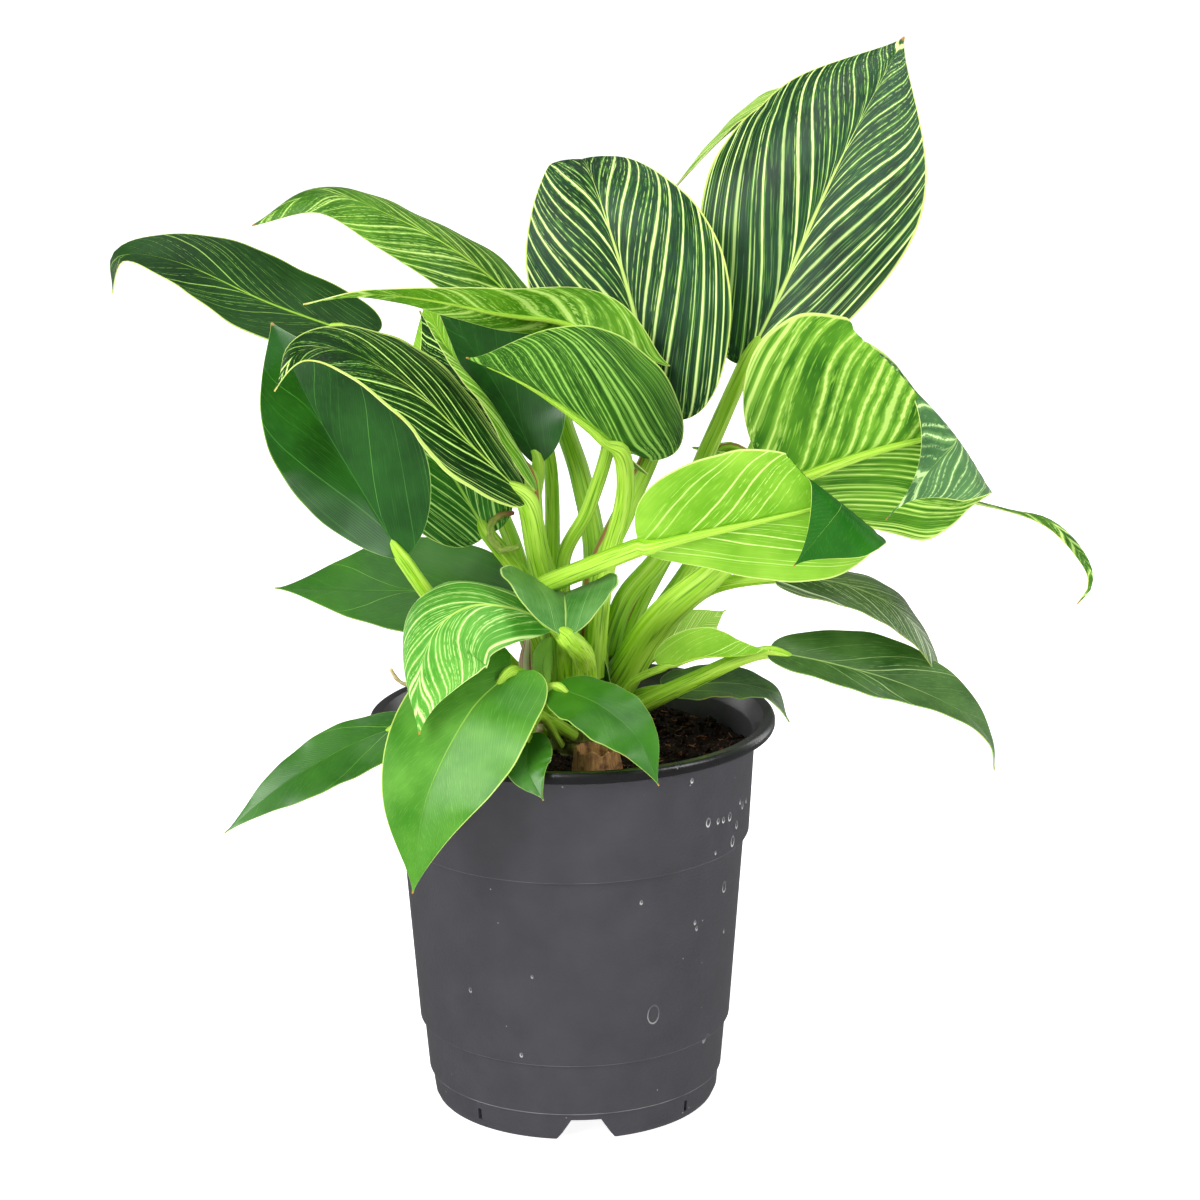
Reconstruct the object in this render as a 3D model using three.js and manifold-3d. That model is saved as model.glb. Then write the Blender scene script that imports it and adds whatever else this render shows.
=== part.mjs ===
// Philodendron birkin in a plastic nursery pot, in millimetres, +Z up.
// The pot's axis is the working axis; at the end the whole plant is moved so that the
// middle of its bounding box stands over the origin, with the pot's foot at z = 0.
import * as THREE from 'three';
import { mergeVertices } from 'three/addons/utils/BufferGeometryUtils.js';
import Module from 'manifold-3d';

const wasm = await Module();
wasm.setup();

// ---- driving dimensions ----------------------------------------------------------
const GAP = 0.35;              // clearance between neighbouring pieces
const POT_HEIGHT = 147;
const POT_RIM_RADIUS = 75;
const POT_FACETS = 36;
const POT_WALL = 1.2;
const FLOOR_UNDERSIDE = 8.8;   // the floor stands this high above the table
const FLOOR_TOP = 10;
const FOOT_NOTCHES = 4;
const NOTCH_ANGLE = 4.5;       // degrees from the front, towards +X
const NOTCH_TOP_WIDTH = 10.9;
const NOTCH_FOOT_WIDTH = 22.7;
const NOTCH_HEIGHT = 8.3;
const SLIT_WIDTH = 1.6;
const SLIT_HEIGHT = 4.2;
const DRAIN_RADIUS = 4.5;
const DRAIN_CIRCLE = 38;
const SOIL_LEVEL = 133;
const SOIL_RELIEF = 0.9;
const BLADE_THICKNESS = 0.7;
const BLADE_MIN_HALF = 0.8;    // a row of a blade is never narrower than this
const STALK_SIDES = 5;
const ROW_SPACING = 1.4;       // rows of a blade stand closer towards its base

// ---- materials ----------------------------------------------------------------------
const plastic = { color: 0x46464b, roughness: 0.42, metalness: 0 };
const peat = { color: 0x1d130c, roughness: 1, metalness: 0 };
const stripedGreen = { color: 0x2f7a32, roughness: 0.42, metalness: 0 };
const plainGreen = { color: 0x2c8433, roughness: 0.38, metalness: 0 };
const limeGreen = { color: 0x86c43a, roughness: 0.45, metalness: 0 };
const stemOlive = { color: 0x55702a, roughness: 0.6, metalness: 0 };
const bark = { color: 0x9a6a35, roughness: 0.85, metalness: 0 };
const paleRoot = { color: 0xd8c48e, roughness: 0.8, metalness: 0 };

// ---- solids ----------------------------------------------------------------------
function solidOf(geometry) {
  geometry.deleteAttribute('normal');
  geometry.deleteAttribute('uv');
  const merged = mergeVertices(geometry, 1e-4);
  return new wasm.Manifold(new wasm.Mesh({
    numProp: 3,
    vertProperties: new Float32Array(merged.attributes.position.array),
    triVerts: new Uint32Array(merged.index.array),
  }));
}

function geometryOf(solid) {
  const mesh = solid.getMesh();
  const geometry = new THREE.BufferGeometry();
  geometry.setAttribute('position', new THREE.BufferAttribute(mesh.vertProperties, 3));
  geometry.setIndex(new THREE.BufferAttribute(mesh.triVerts, 1));
  return geometry;
}

function fromTriangles(points, triangles) {
  const geometry = new THREE.BufferGeometry();
  geometry.setAttribute('position', new THREE.Float32BufferAttribute(points.flat(), 3));
  geometry.setIndex(triangles.flat());
  return solidOf(geometry);
}

// A lathe's profile is given as [radius, height] and turned about +Z.
function turned(profile, facets) {
  const points = profile.map(([r, z]) => new THREE.Vector2(r, z));
  return new THREE.LatheGeometry(points, facets).rotateX(Math.PI / 2);
}

const vector = ([x, y, z]) => new THREE.Vector3(x, y, z);
const curveThrough = (points) => new THREE.CatmullRomCurve3(points.map(vector), false, 'catmullrom', 0.5);

// A value from a list spread evenly over 0..1.
function along(list, t) {
  const at = t * (list.length - 1);
  const i = Math.min(Math.floor(at), list.length - 2);
  return list.length === 1 ? list[0] : list[i] + (list[i + 1] - list[i]) * (at - i);
}

// A round stalk of changing radius along a curve, closed at both ends.
function stalk(points, radii, segments, grow = 0) {
  const curve = curveThrough(points);
  const frames = curve.computeFrenetFrames(segments, false);
  const ring = [];
  const triangles = [];
  for (let i = 0; i <= segments; i += 1) {
    const centre = curve.getPointAt(i / segments);
    const radius = along(radii, i / segments) + grow;
    for (let k = 0; k < STALK_SIDES; k += 1) {
      const angle = (2 * Math.PI * k) / STALK_SIDES;
      const point = centre.clone()
        .addScaledVector(frames.normals[i], radius * Math.cos(angle))
        .addScaledVector(frames.binormals[i], radius * Math.sin(angle));
      ring.push(point.toArray());
    }
  }
  for (let i = 0; i < segments; i += 1) {
    for (let k = 0; k < STALK_SIDES; k += 1) {
      const next = (k + 1) % STALK_SIDES;
      const a = i * STALK_SIDES + k;
      const b = i * STALK_SIDES + next;
      triangles.push([a, b, b + STALK_SIDES], [a, b + STALK_SIDES, a + STALK_SIDES]);
    }
  }
  for (let k = 1; k < STALK_SIDES - 1; k += 1) {
    const last = segments * STALK_SIDES;
    triangles.push([0, k + 1, k], [last, last + k, last + k + 1]);
  }
  return fromTriangles(ring, triangles);
}

// Half width of a blade, 0..1, at t from base to tip: widest at `widest`, then drawn out.
function outline(t, widest, [full, taper]) {
  const bend = Math.log(0.5) / Math.log(widest);
  return Math.max(0, Math.sin(Math.PI * t ** bend)) ** (full + taper * t);
}

// The middle surface of a blade: rows across the rib, each row an arc to either side that
// starts at the fold angle and turns by the curl angle, mostly near the margin when rolled.
function bladeRows(leaf, rows, across) {
  const rib = curveThrough(leaf.rib);
  const face = curveThrough(leaf.face);
  const length = rib.getLength();
  const surface = [];
  for (let i = 0; i <= rows; i += 1) {
    const t = (i / rows) ** ROW_SPACING;
    const centre = rib.getPointAt(t);
    const forward = rib.getTangentAt(t);
    const up = face.getPoint(rib.getUtoTmapping(t));
    up.addScaledVector(forward, -up.dot(forward)).normalize();
    const side = new THREE.Vector3().crossVectors(forward, up);
    const row = [{ point: centre, up }];
    for (const hand of [-1, 1]) {
      const s = hand < 0 ? 0 : 1;
      const shape = outline(t, leaf.widest[s], leaf.full);
      const half = Math.max(leaf.half[s] * shape, BLADE_MIN_HALF);
      const fold = THREE.MathUtils.degToRad(along(leaf.fold[s], t));
      const curl = THREE.MathUtils.degToRad(along(leaf.curl[s], t));
      const steps = 24;
      let out = 0;
      let rise = 0;
      let done = 0;
      for (const share of across) {
        while (done < Math.round(share * steps)) {
          const angle = fold + curl * ((done + 0.5) / steps) ** leaf.roll;
          out += (half * Math.cos(angle)) / steps;
          rise += (half * Math.sin(angle)) / steps;
          done += 1;
        }
        const angle = fold + curl * share ** leaf.roll;
        const back = leaf.lobe * length * share * Math.sqrt(shape) * (1 - t) ** 3;
        const point = centre.clone()
          .addScaledVector(side, hand * out)
          .addScaledVector(up, rise)
          .addScaledVector(forward, -back);
        const normal = up.clone().multiplyScalar(Math.cos(angle))
          .addScaledVector(side, -hand * Math.sin(angle));
        const item = { point, up: normal };
        if (hand < 0) row.unshift(item);
        else row.push(item);
      }
    }
    surface.push(row);
  }
  if (leaf.over) surface.flat().forEach((item) => rollOver(item, leaf.over));
  return surface;
}

// The end of a blade can be rolled over, as a page is turned: what lies past the line
// from 'start' to 'end' goes round a roll of the given radii and comes back over the rest.
function rollOver(item, over) {
  const start = new THREE.Vector3(...over.start);
  const line = new THREE.Vector3(...over.end).sub(start);
  const reach = line.length();
  line.normalize();
  const toward = new THREE.Vector3(...over.toward);
  toward.addScaledVector(line, -toward.dot(line)).normalize();
  const past = new THREE.Vector3().crossVectors(line, toward);
  const from = item.point.clone().sub(start);
  const share = THREE.MathUtils.clamp(from.dot(line) / reach, 0, 1);
  const far = from.dot(past) - over.bow * 4 * share * (1 - share);
  const height = from.dot(toward);
  if (far <= 0) return;
  const radius = over.radius[0] + (over.radius[1] - over.radius[0]) * share;
  const angle = Math.min(far / radius, THREE.MathUtils.degToRad(over.turn));
  const rest = far - radius * angle;
  const [sin, cos] = [Math.sin(angle), Math.cos(angle)];
  item.point
    .addScaledVector(past, (radius - height) * sin + rest * cos - far)
    .addScaledVector(toward, radius * (1 - cos) + rest * sin + height * cos - height);
  const lean = item.up.dot(past);
  const lift = item.up.dot(toward);
  item.up
    .addScaledVector(past, lean * cos - lift * sin - lean)
    .addScaledVector(toward, lean * sin + lift * cos - lift);
}

// A blade is the middle surface given its thickness, with a raised rib underneath, and
// both faces are split along the same diagonals. Base and tip close to a short edge.
function blade(leaf, rows, across, grow = 0) {
  const surface = bladeRows(leaf, rows, across);
  const columns = surface[0].length;
  const middle = (columns - 1) / 2;
  const half = BLADE_THICKNESS / 2 + grow;
  const points = [];
  const top = [];
  const under = [];
  surface.forEach((row, i) => {
    const end = i === 0 || i === rows;
    const t = (i / rows) ** ROW_SPACING;
    const ridge = leaf.stalkRadius[1] * 0.9 * (1 - t) ** 1.2;
    top.push([]);
    under.push([]);
    row.forEach((item, j) => {
      if (end && j > 0) {
        top[i].push(top[i][0]);
        under[i].push(under[i][0]);
        return;
      }
      const source = end ? row[middle] : item;
      const edge = new THREE.Vector3();
      if (grow > 0 && !end && (j === 0 || j === columns - 1)) {
        edge.subVectors(item.point, row[j === 0 ? 1 : columns - 2].point).setLength(grow);
      }
      const drop = half + (j === middle && !end ? ridge : 0);
      top[i].push(points.length);
      points.push(source.point.clone().add(edge).addScaledVector(source.up, half).toArray());
      under[i].push(points.length);
      points.push(source.point.clone().add(edge).addScaledVector(source.up, -drop).toArray());
    });
  });
  const triangles = [];
  const add = (a, b, c) => {
    if (a !== b && b !== c && a !== c) triangles.push([a, b, c]);
  };
  for (let i = 0; i < rows; i += 1) {
    for (let j = 0; j < columns - 1; j += 1) {
      if (j < middle) {
        add(top[i][j], top[i][j + 1], top[i + 1][j + 1]);
        add(top[i][j], top[i + 1][j + 1], top[i + 1][j]);
        add(under[i][j], under[i + 1][j + 1], under[i][j + 1]);
        add(under[i][j], under[i + 1][j], under[i + 1][j + 1]);
      } else {
        add(top[i][j], top[i][j + 1], top[i + 1][j]);
        add(top[i][j + 1], top[i + 1][j + 1], top[i + 1][j]);
        add(under[i][j], under[i + 1][j], under[i][j + 1]);
        add(under[i][j + 1], under[i + 1][j], under[i + 1][j + 1]);
      }
    }
    const last = columns - 1;
    add(top[i][0], top[i + 1][0], under[i + 1][0]);
    add(top[i][0], under[i + 1][0], under[i][0]);
    add(top[i][last], under[i + 1][last], top[i + 1][last]);
    add(top[i][last], under[i][last], under[i + 1][last]);
  }
  return fromTriangles(points, triangles);
}

// ---- stems: three short shoots that share the pot ----------------------------------
// Each is [x, y, z] points up its axis and the radius at the foot and at the top.
const STEMS = [
  { name: 'stem_main', axis: [[1, 0, 124], [1, 0, 140], [4, 0, 168]], radius: [8, 9.5, 6] },
  { name: 'stem_right', axis: [[15, 11, 124], [14, 11, 140], [12, 11, 165]], radius: [6, 6, 4.5] },
  { name: 'stem_left', axis: [[-10, 12, 124], [-10, 12, 140], [-11.5, 12, 164]], radius: [5, 5, 4] },
];

// ---- leaves -------------------------------------------------------------------------
// stalk: from inside its stem to the blade; rib: along the blade; face: which way the
// upper face looks at each rib point; half: widest half width left and right of the rib;
// widest: how far along that is; full: how round and how drawn out the outline is;
// lobe: how far the two halves reach back past the base; fold and curl: degrees;
// over: the line and the roll over which the end of the blade is turned back.
const LEAVES = [
  {
    name: 'leaf_crown_right', look: stripedGreen,
    stalk: [[12, 10, 165], [20, 14, 187], [35, 20, 205], [51, 26, 241]],
    stalkRadius: [4.5, 3.2],
    rib: [[65.5, 32, 272.5], [80, 42, 299.5], [92, 46, 326.5], [106, 50, 355.5], [124, 55, 389]],
    face: [
      [-0.15, -0.95, 0.2], [-0.15, -0.95, 0.25], [-0.1, -0.95, 0.3],
      [-0.1, -0.95, 0.3], [-0.1, -0.95, 0.3],
    ],
    half: [46, 37], widest: [0.54, 0.52], full: [0.5, 0.75], lobe: 0.08,
    fold: [[8], [12]], curl: [[-5, -15, -60, -30], [-10, -15, 0]], roll: 1,
  },
  {
    name: 'leaf_crown_back', look: stripedGreen,
    stalk: [[13, 14, 164], [35, 30, 182], [64, 50, 224], [87, 70, 278]],
    stalkRadius: [3, 2.2],
    rib: [[107, 88, 343.5], [88, 90, 363.5], [63.5, 90, 353], [37.5, 84, 327.5]],
    face: [[-0.3, -0.2, 0.95], [-0.45, 0, 0.9], [-0.75, 0, 0.65], [-0.85, 0, 0.5]],
    half: [20, 20], widest: [0.36, 0.36], full: [0.6, 0.75], lobe: 0.12,
    fold: [[5], [5]], curl: [[0], [0]], roll: 1,
  },
  {
    name: 'leaf_upper_middle', look: stripedGreen,
    stalk: [[8, 2, 162], [9, 4, 197], [20, 6, 223], [30, 8, 245]],
    stalkRadius: [5.5, 3.2],
    rib: [[32, 10, 259], [23.5, 18, 294.5], [14.5, 26, 324.5], [6, 42, 345.5], [1.5, 64, 337.5]],
    face: [[-0.1, -1, 0.1], [-0.1, -1, 0.2], [-0.1, -0.95, 0.35], [0, -0.45, 0.9], [0, 0.6, 0.8]],
    half: [35, 37], widest: [0.45, 0.4], full: [0.6, 0.9], lobe: 0.12,
    fold: [[10], [10]], curl: [[-25], [-25]], roll: 1,
  },
  {
    name: 'leaf_upper_left_arched', look: stripedGreen,
    stalk: [[5, 6, 165], [9, 18, 201], [4, 26, 230], [-3, 34, 251]],
    stalkRadius: [5, 3],
    rib: [[-13, 45, 287], [-36.5, 42, 309], [-62, 38, 325], [-90.5, 34, 335.5], [-115.5, 30, 324.5]],
    face: [[-0.2, -0.4, 0.9], [-0.3, -0.4, 0.85], [-0.2, -0.4, 0.9], [0, -0.4, 0.9], [-0.6, -0.4, 0.7]],
    half: [17, 17], widest: [0.36, 0.36], full: [0.6, 0.35], lobe: 0.12,
    fold: [[-5], [0]], curl: [[-40], [-30]], roll: 1,
  },
  {
    name: 'leaf_far_left', look: stripedGreen,
    stalk: [[-14, 11, 156], [-18, 14, 196], [-30, 16, 228], [-51, 16, 262]],
    stalkRadius: [3.4, 2.6],
    rib: [[-79, 15, 287], [-109, 12, 299], [-139, 8, 314], [-159.5, 4, 317.5], [-163.5, 2, 304.5]],
    face: [
      [-0.2, -0.5, 0.85], [-0.2, -0.5, 0.85], [-0.2, -0.5, 0.85],
      [-0.5, -0.4, 0.8], [-0.9, -0.3, 0.3],
    ],
    half: [19, 22], widest: [0.36, 0.36], full: [0.6, 0.5], lobe: 0.2,
    fold: [[5], [5]], curl: [[0], [0]], roll: 1,
  },
  {
    name: 'leaf_middle_reaching_left', look: stripedGreen,
    stalk: [[1, 1, 168], [-3, -2, 204], [7, -2, 226], [15, -5, 255]],
    stalkRadius: [3, 2.4],
    rib: [
      [13.5, -8, 286.5], [-1, -12, 295.5], [-24, -18, 300],
      [-48.5, -24, 306], [-72.5, -30, 309], [-92, -34, 306],
    ],
    face: [
      [0.2, 0.9, 0.35], [0, 0.75, 0.65], [0, 0.45, 0.9],
      [0, 0.35, 0.95], [0, 0.3, 0.95], [-0.3, 0.1, 0.95],
    ],
    half: [12, 8], widest: [0.2, 0.3], full: [0.6, 0.75], lobe: 0.33,
    fold: [[80, 65, 35, 20, 5], [-35, -35, -25]], curl: [[0], [0]], roll: 1,
  },
  {
    name: 'leaf_middle_cupped', look: stripedGreen,
    stalk: [[8, -4, 161], [12, -8, 200], [19, -12, 227], [20, -16, 241]],
    stalkRadius: [4, 3.2],
    rib: [[18, -20, 250.5], [6, -28, 262.5], [-13.5, -38, 277.5], [-35, -46, 289]],
    face: [[0.1, 0.2, 1], [0.1, 0.2, 1], [0, 0.2, 1], [0, 0.2, 1]],
    half: [34, 20], widest: [0.36, 0.36], full: [0.6, 0.75], lobe: 0.55,
    fold: [[60], [20]], curl: [[50], [0]], roll: 1,
  },
  {
    name: 'leaf_left_striped', look: stripedGreen,
    stalk: [[-3, -7, 154], [-5, -14, 186], [-11, -24, 213]],
    stalkRadius: [5.5, 4],
    rib: [
      [-15, -35, 236], [-32.5, -45, 256], [-52.5, -55, 279],
      [-74, -64, 294], [-90.5, -70, 295.5], [-99, -74, 283],
    ],
    face: [
      [0.1, -0.45, 0.9], [0.1, -0.45, 0.9], [0.1, -0.35, 0.9],
      [0, -0.35, 0.95], [-0.25, -0.35, 0.9], [-0.9, -0.25, 0.35],
    ],
    half: [24, 32], widest: [0.45, 0.45], full: [0.6, 0.75], lobe: 0,
    fold: [[5], [8]], curl: [[-20], [-20]], roll: 1,
  },
  {
    name: 'leaf_left_plain_large', look: plainGreen,
    stalk: [[-6, -4, 145], [-26, -22, 176], [-46, -34, 196]],
    stalkRadius: [3.6, 2.8],
    rib: [[-59, -42, 217], [-75.5, -44, 247], [-90.5, -42, 274], [-103, -36, 300]],
    face: [[0.1, -0.8, 0.6], [0.1, -0.8, 0.6], [0.1, -0.8, 0.6], [0.1, -0.8, 0.6]],
    half: [23, 28], widest: [0.5, 0.42], full: [0.7, 0.35], lobe: 0,
    fold: [[8], [30]], curl: [[0], [0]], roll: 1,
  },
  {
    name: 'leaf_left_striped_inner', look: stripedGreen,
    stalk: [[-6, -1, 151], [-11, -2, 187], [-20, -4, 203]],
    stalkRadius: [4, 3],
    rib: [[-30, -8, 217.5], [-41.5, -4, 236.5], [-54, 0, 256], [-66.5, 2, 275]],
    face: [[-0.3, -0.8, 0.5], [-0.3, -0.8, 0.5], [-0.2, -0.85, 0.5], [-0.2, -0.85, 0.5]],
    half: [23, 20], widest: [0.36, 0.36], full: [0.6, 0.75], lobe: 0.04,
    fold: [[8], [8]], curl: [[-10], [-30]], roll: 1,
  },
  {
    name: 'leaf_low_left_plain', look: plainGreen,
    stalk: [[-14, 15, 148], [-14, 14, 171]],
    stalkRadius: [3, 2.4],
    rib: [[-25, 18, 186], [-52.5, 16, 189.5], [-82, 12, 191.5], [-109.5, 10, 193]],
    face: [[0, -0.6, 0.8], [0, -0.6, 0.8], [0, -0.6, 0.8], [0, -0.6, 0.8]],
    half: [22, 25], widest: [0.36, 0.36], full: [0.6, 0.75], lobe: 0.12,
    fold: [[5], [5]], curl: [[0], [0]], roll: 1,
  },
  {
    name: 'leaf_middle_dark', look: plainGreen,
    stalk: [[-3, 1, 162], [-9, 2, 186], [-14, 3, 216]],
    stalkRadius: [3.4, 2.6],
    rib: [[-11.5, 5, 240], [-22.5, 10, 261], [-36, 12, 283], [-50, 12, 301]],
    face: [[0, -0.9, 0.4], [0, -0.9, 0.4], [0, -0.9, 0.4], [0, -0.9, 0.4]],
    half: [8, 24], widest: [0.5, 0.43], full: [0.6, 0.75], lobe: 0,
    fold: [[10], [15]], curl: [[0], [0]], roll: 1,
  },
  {
    name: 'leaf_middle_pale_back', look: limeGreen,
    stalk: [[-9, 14, 163], [-7, 18, 201], [-8, 26, 239], [-17, 28, 249]],
    stalkRadius: [3.6, 2.2],
    rib: [[-31.5, 30, 257.5], [-42.5, 34, 273], [-49.5, 36, 286.5], [-53.5, 36, 296.5]],
    face: [[-0.2, 0.95, 0.3], [-0.2, 0.95, 0.3], [-0.2, 0.95, 0.3], [-0.2, 0.95, 0.3]],
    half: [17, 18], widest: [0.36, 0.36], full: [0.6, 0.75], lobe: 0.12,
    fold: [[5], [5]], curl: [[0], [0]], roll: 1,
  },
  {
    name: 'leaf_middle_striped_inner', look: stripedGreen,
    stalk: [[-4, -4, 158], [-9, -8, 192], [-12, -12, 216]],
    stalkRadius: [3.4, 3],
    rib: [[-13.5, -12, 238], [-26.5, -8, 259.5], [-41, -2, 278.5], [-53.5, 2, 297.5]],
    face: [[-0.5, -0.6, 0.6], [-0.5, -0.6, 0.6], [-0.55, -0.55, 0.65], [-0.55, -0.55, 0.65]],
    half: [22, 15], widest: [0.45, 0.36], full: [0.6, 0.75], lobe: 0.12,
    fold: [[0], [40]], curl: [[0], [90]], roll: 1,
  },
  {
    name: 'leaf_right_rolled', look: stripedGreen,
    stalk: [[17, 7, 156], [33, -4, 184], [54, -8, 204], [68, -8, 221]],
    stalkRadius: [7, 4],
    rib: [[76, -6, 234.5], [100, 0, 242], [122, 4, 247.5], [151, 6, 252], [178.5, 6, 254]],
    face: [[0, 1, 0.2], [0, 1, 0.2], [0, 1, 0.2], [0, 1, 0.2], [0, 1, 0.2]],
    half: [40, 60], widest: [0.5, 0.23], full: [0.72, 1.8], lobe: 0.12,
    fold: [[15, 10, 0, 0, 0], [0]], curl: [[10, 5, 0, 0], [-10, 0, 0]], roll: 1,
    over: {
      start: [146.5, 6, 210.5], end: [105, 6, 290], toward: [0, -1, -0.2],
      radius: [4.5, 2.5], bow: 8.5, turn: 180,
    },
  },
  {
    name: 'leaf_right_long_tail', look: stripedGreen,
    stalk: [[15, 14, 160], [26, 26, 183], [43, 36, 212]],
    stalkRadius: [3.4, 2.6],
    rib: [
      [56, 40, 237.5], [86, 40, 233], [123.5, 38, 224.5], [160.5, 34, 216],
      [179, 30, 211], [191.5, 26, 197.5], [194, 25, 188], [189, 24, 181],
    ],
    face: [
      [0, 0.1, 1], [0, 0.1, 1], [0, 0.2, 1], [0.1, 0.25, 0.95],
      [0.4, -0.3, 0.85], [0.65, -0.75, 0.2], [0.65, -0.75, 0], [0.65, -0.75, -0.1],
    ],
    half: [7, 7], widest: [0.36, 0.36], full: [0.45, 0.45], lobe: 0.12,
    fold: [[5], [5]], curl: [[-20], [-20]], roll: 1,
  },
  {
    name: 'leaf_front_lime', look: limeGreen,
    stalk: [[-5, -7, 150], [-15, -14, 179], [-17, -22, 194], [-10, -31, 203], [7, -42, 213]],
    stalkRadius: [4.2, 3.4],
    rib: [[24.5, -50, 222], [45.5, -50, 227], [66.5, -48, 231], [94.5, -48, 238], [121.5, -48, 249.5]],
    face: [[0, 0.95, 0.25], [0, 0.95, 0.25], [0, 0.95, 0.25], [0, 0.95, 0.25], [0, 0.95, 0.25]],
    half: [29, 29], widest: [0.6, 0.34], full: [0.5, 1.1], lobe: 0,
    fold: [[0], [0]], curl: [[0], [0]], roll: 1,
    over: {
      start: [108, -48, 215], end: [85.5, -48, 244], toward: [0, -1, -0.2],
      radius: [3, 3], bow: 0, turn: 180,
    },
  },
  {
    name: 'leaf_right_arched', look: stripedGreen,
    stalk: [[18, 11, 150], [29, 10, 169], [44, 6, 188], [57, -3, 197]],
    stalkRadius: [3.4, 2.4],
    rib: [[79, -10, 201], [100, -12, 198], [119.5, -14, 188.5], [132, -16, 171], [133, -18, 153]],
    face: [[0.1, -0.3, 0.95], [0.2, -0.3, 0.95], [0.55, -0.3, 0.75], [0.9, -0.3, 0.3], [0.95, -0.3, 0]],
    half: [17, 12], widest: [0.36, 0.36], full: [0.6, 0.75], lobe: 0.12,
    fold: [[0], [0]], curl: [[-20], [-20]], roll: 1,
  },
  {
    name: 'leaf_right_low_plain', look: plainGreen,
    stalk: [[18, 7, 144], [27, -4, 152], [47, -12, 164], [61, -17, 172]],
    stalkRadius: [4, 2.4],
    rib: [
      [72.5, -20, 175.5], [93.5, -24, 172], [118.5, -28, 165.5],
      [140, -32, 156], [150.5, -34, 145], [152.5, -34, 134.5],
    ],
    face: [
      [0.1, -0.5, 0.85], [0.1, -0.5, 0.85], [0.2, -0.5, 0.85],
      [0.4, -0.5, 0.8], [0.8, -0.4, 0.4], [0.95, -0.3, 0.1],
    ],
    half: [18, 11], widest: [0.42, 0.36], full: [0.6, 1], lobe: 0.03,
    fold: [[10], [5]], curl: [[0], [0]], roll: 1,
  },
  {
    name: 'leaf_right_small_pale', look: limeGreen,
    stalk: [[17, 6, 140], [21, -12, 161]],
    stalkRadius: [1.6, 1.4],
    rib: [[33.5, -20, 170], [46.5, -22, 174.5], [61, -24, 175.5], [72, -26, 178]],
    face: [[0, 0.3, 0.95], [0, 0.3, 0.95], [0, 0.3, 0.95], [0, 0.3, 0.95]],
    half: [8, 11], widest: [0.36, 0.36], full: [0.6, 0.75], lobe: 0.12,
    fold: [[20], [70]], curl: [[0], [0]], roll: 1,
  },
  {
    name: 'leaf_right_over_rim', look: plainGreen,
    stalk: [[19, 13, 141], [24, 10, 151]],
    stalkRadius: [2, 1.8],
    rib: [[36.5, 10, 153.5], [57, 14, 154], [73, 14, 150.5], [81, 10, 140]],
    face: [[0, -0.2, 1], [0, -0.2, 1], [0.3, -0.2, 0.95], [0.95, -0.2, 0.3]],
    half: [14, 14], widest: [0.36, 0.36], full: [0.6, 0.75], lobe: 0.12,
    fold: [[5], [5]], curl: [[0], [0]], roll: 1,
  },
  {
    name: 'leaf_right_small_back', look: limeGreen,
    stalk: [[16, 15, 148], [25, 26, 157]],
    stalkRadius: [1.8, 1.6],
    rib: [[37.5, 34, 162.5], [46, 40, 168], [58.5, 46, 174]],
    face: [[0, -1, 0.2], [0, -1, 0.2], [0, -1, 0.2]],
    half: [8, 9], widest: [0.36, 0.36], full: [0.6, 0.75], lobe: 0.12,
    fold: [[10], [10]], curl: [[0], [0]], roll: 1,
  },
  {
    name: 'leaf_front_left_striped', look: stripedGreen,
    stalk: [[-1, -8, 149], [-2, -24, 176], [-2, -36, 185]],
    stalkRadius: [3.4, 2.8],
    rib: [
      [-6, -44, 192.5], [-20.5, -53, 201], [-34, -61, 204], [-44.5, -68, 199.5],
      [-50, -74, 190], [-52.5, -79, 177.5], [-52, -82, 164],
    ],
    face: [
      [0, -0.6, 0.8], [0, -0.6, 0.8], [-0.1, -0.7, 0.7], [-0.2, -0.85, 0.5],
      [-0.3, -0.9, 0.3], [-0.3, -0.95, 0.1], [-0.3, -0.95, 0.1],
    ],
    half: [22, 25], widest: [0.55, 0.26], full: [0.6, 0.75], lobe: 0.02,
    fold: [[-20], [-5]], curl: [[-10], [-50]], roll: 1,
  },
  {
    name: 'leaf_front_small_cupped', look: plainGreen,
    stalk: [[5, -7, 147], [5, -26, 173], [3, -44, 184]],
    stalkRadius: [5, 3.6],
    rib: [[-1.5, -60, 193], [-1.5, -50, 199], [-2, -38, 201], [-2, -24, 199]],
    face: [[0, -0.3, 0.95], [0, -0.2, 1], [0, 0, 1], [0, 0.3, 0.95]],
    half: [26, 21], widest: [0.5, 0.5], full: [0.8, 0.75], lobe: 0.12,
    fold: [[30], [26]], curl: [[0], [0]], roll: 1,
  },
  {
    name: 'leaf_front_left_plain', look: plainGreen,
    stalk: [[-4, -7, 142], [-12, -30, 165]],
    stalkRadius: [3, 2.4],
    rib: [[-20.5, -56, 179], [-35.5, -70, 167.5], [-50, -84, 141], [-55, -92, 109.5]],
    face: [[0, -0.7, 0.7], [0, -0.8, 0.6], [0, -0.85, 0.5], [0, -1, 0.2]],
    half: [24, 22], widest: [0.36, 0.36], full: [0.52, 0.75], lobe: 0.12,
    fold: [[8], [8]], curl: [[0], [0]], roll: 1,
  },
  {
    name: 'leaf_front_small_plain', look: plainGreen,
    stalk: [[1, -9, 141], [-16, -30, 160]],
    stalkRadius: [2.6, 2.2],
    rib: [[-5, -56, 173], [10.5, -66, 169], [23.5, -77, 160], [30.5, -84, 145.5]],
    face: [[0.2, -0.5, 0.85], [0.3, -0.55, 0.75], [0.3, -0.75, 0.55], [0.25, -0.9, 0.35]],
    half: [12, 16], widest: [0.36, 0.36], full: [0.52, 0.75], lobe: 0.02,
    fold: [[5], [5]], curl: [[0], [0]], roll: 1,
  },
  {
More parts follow.
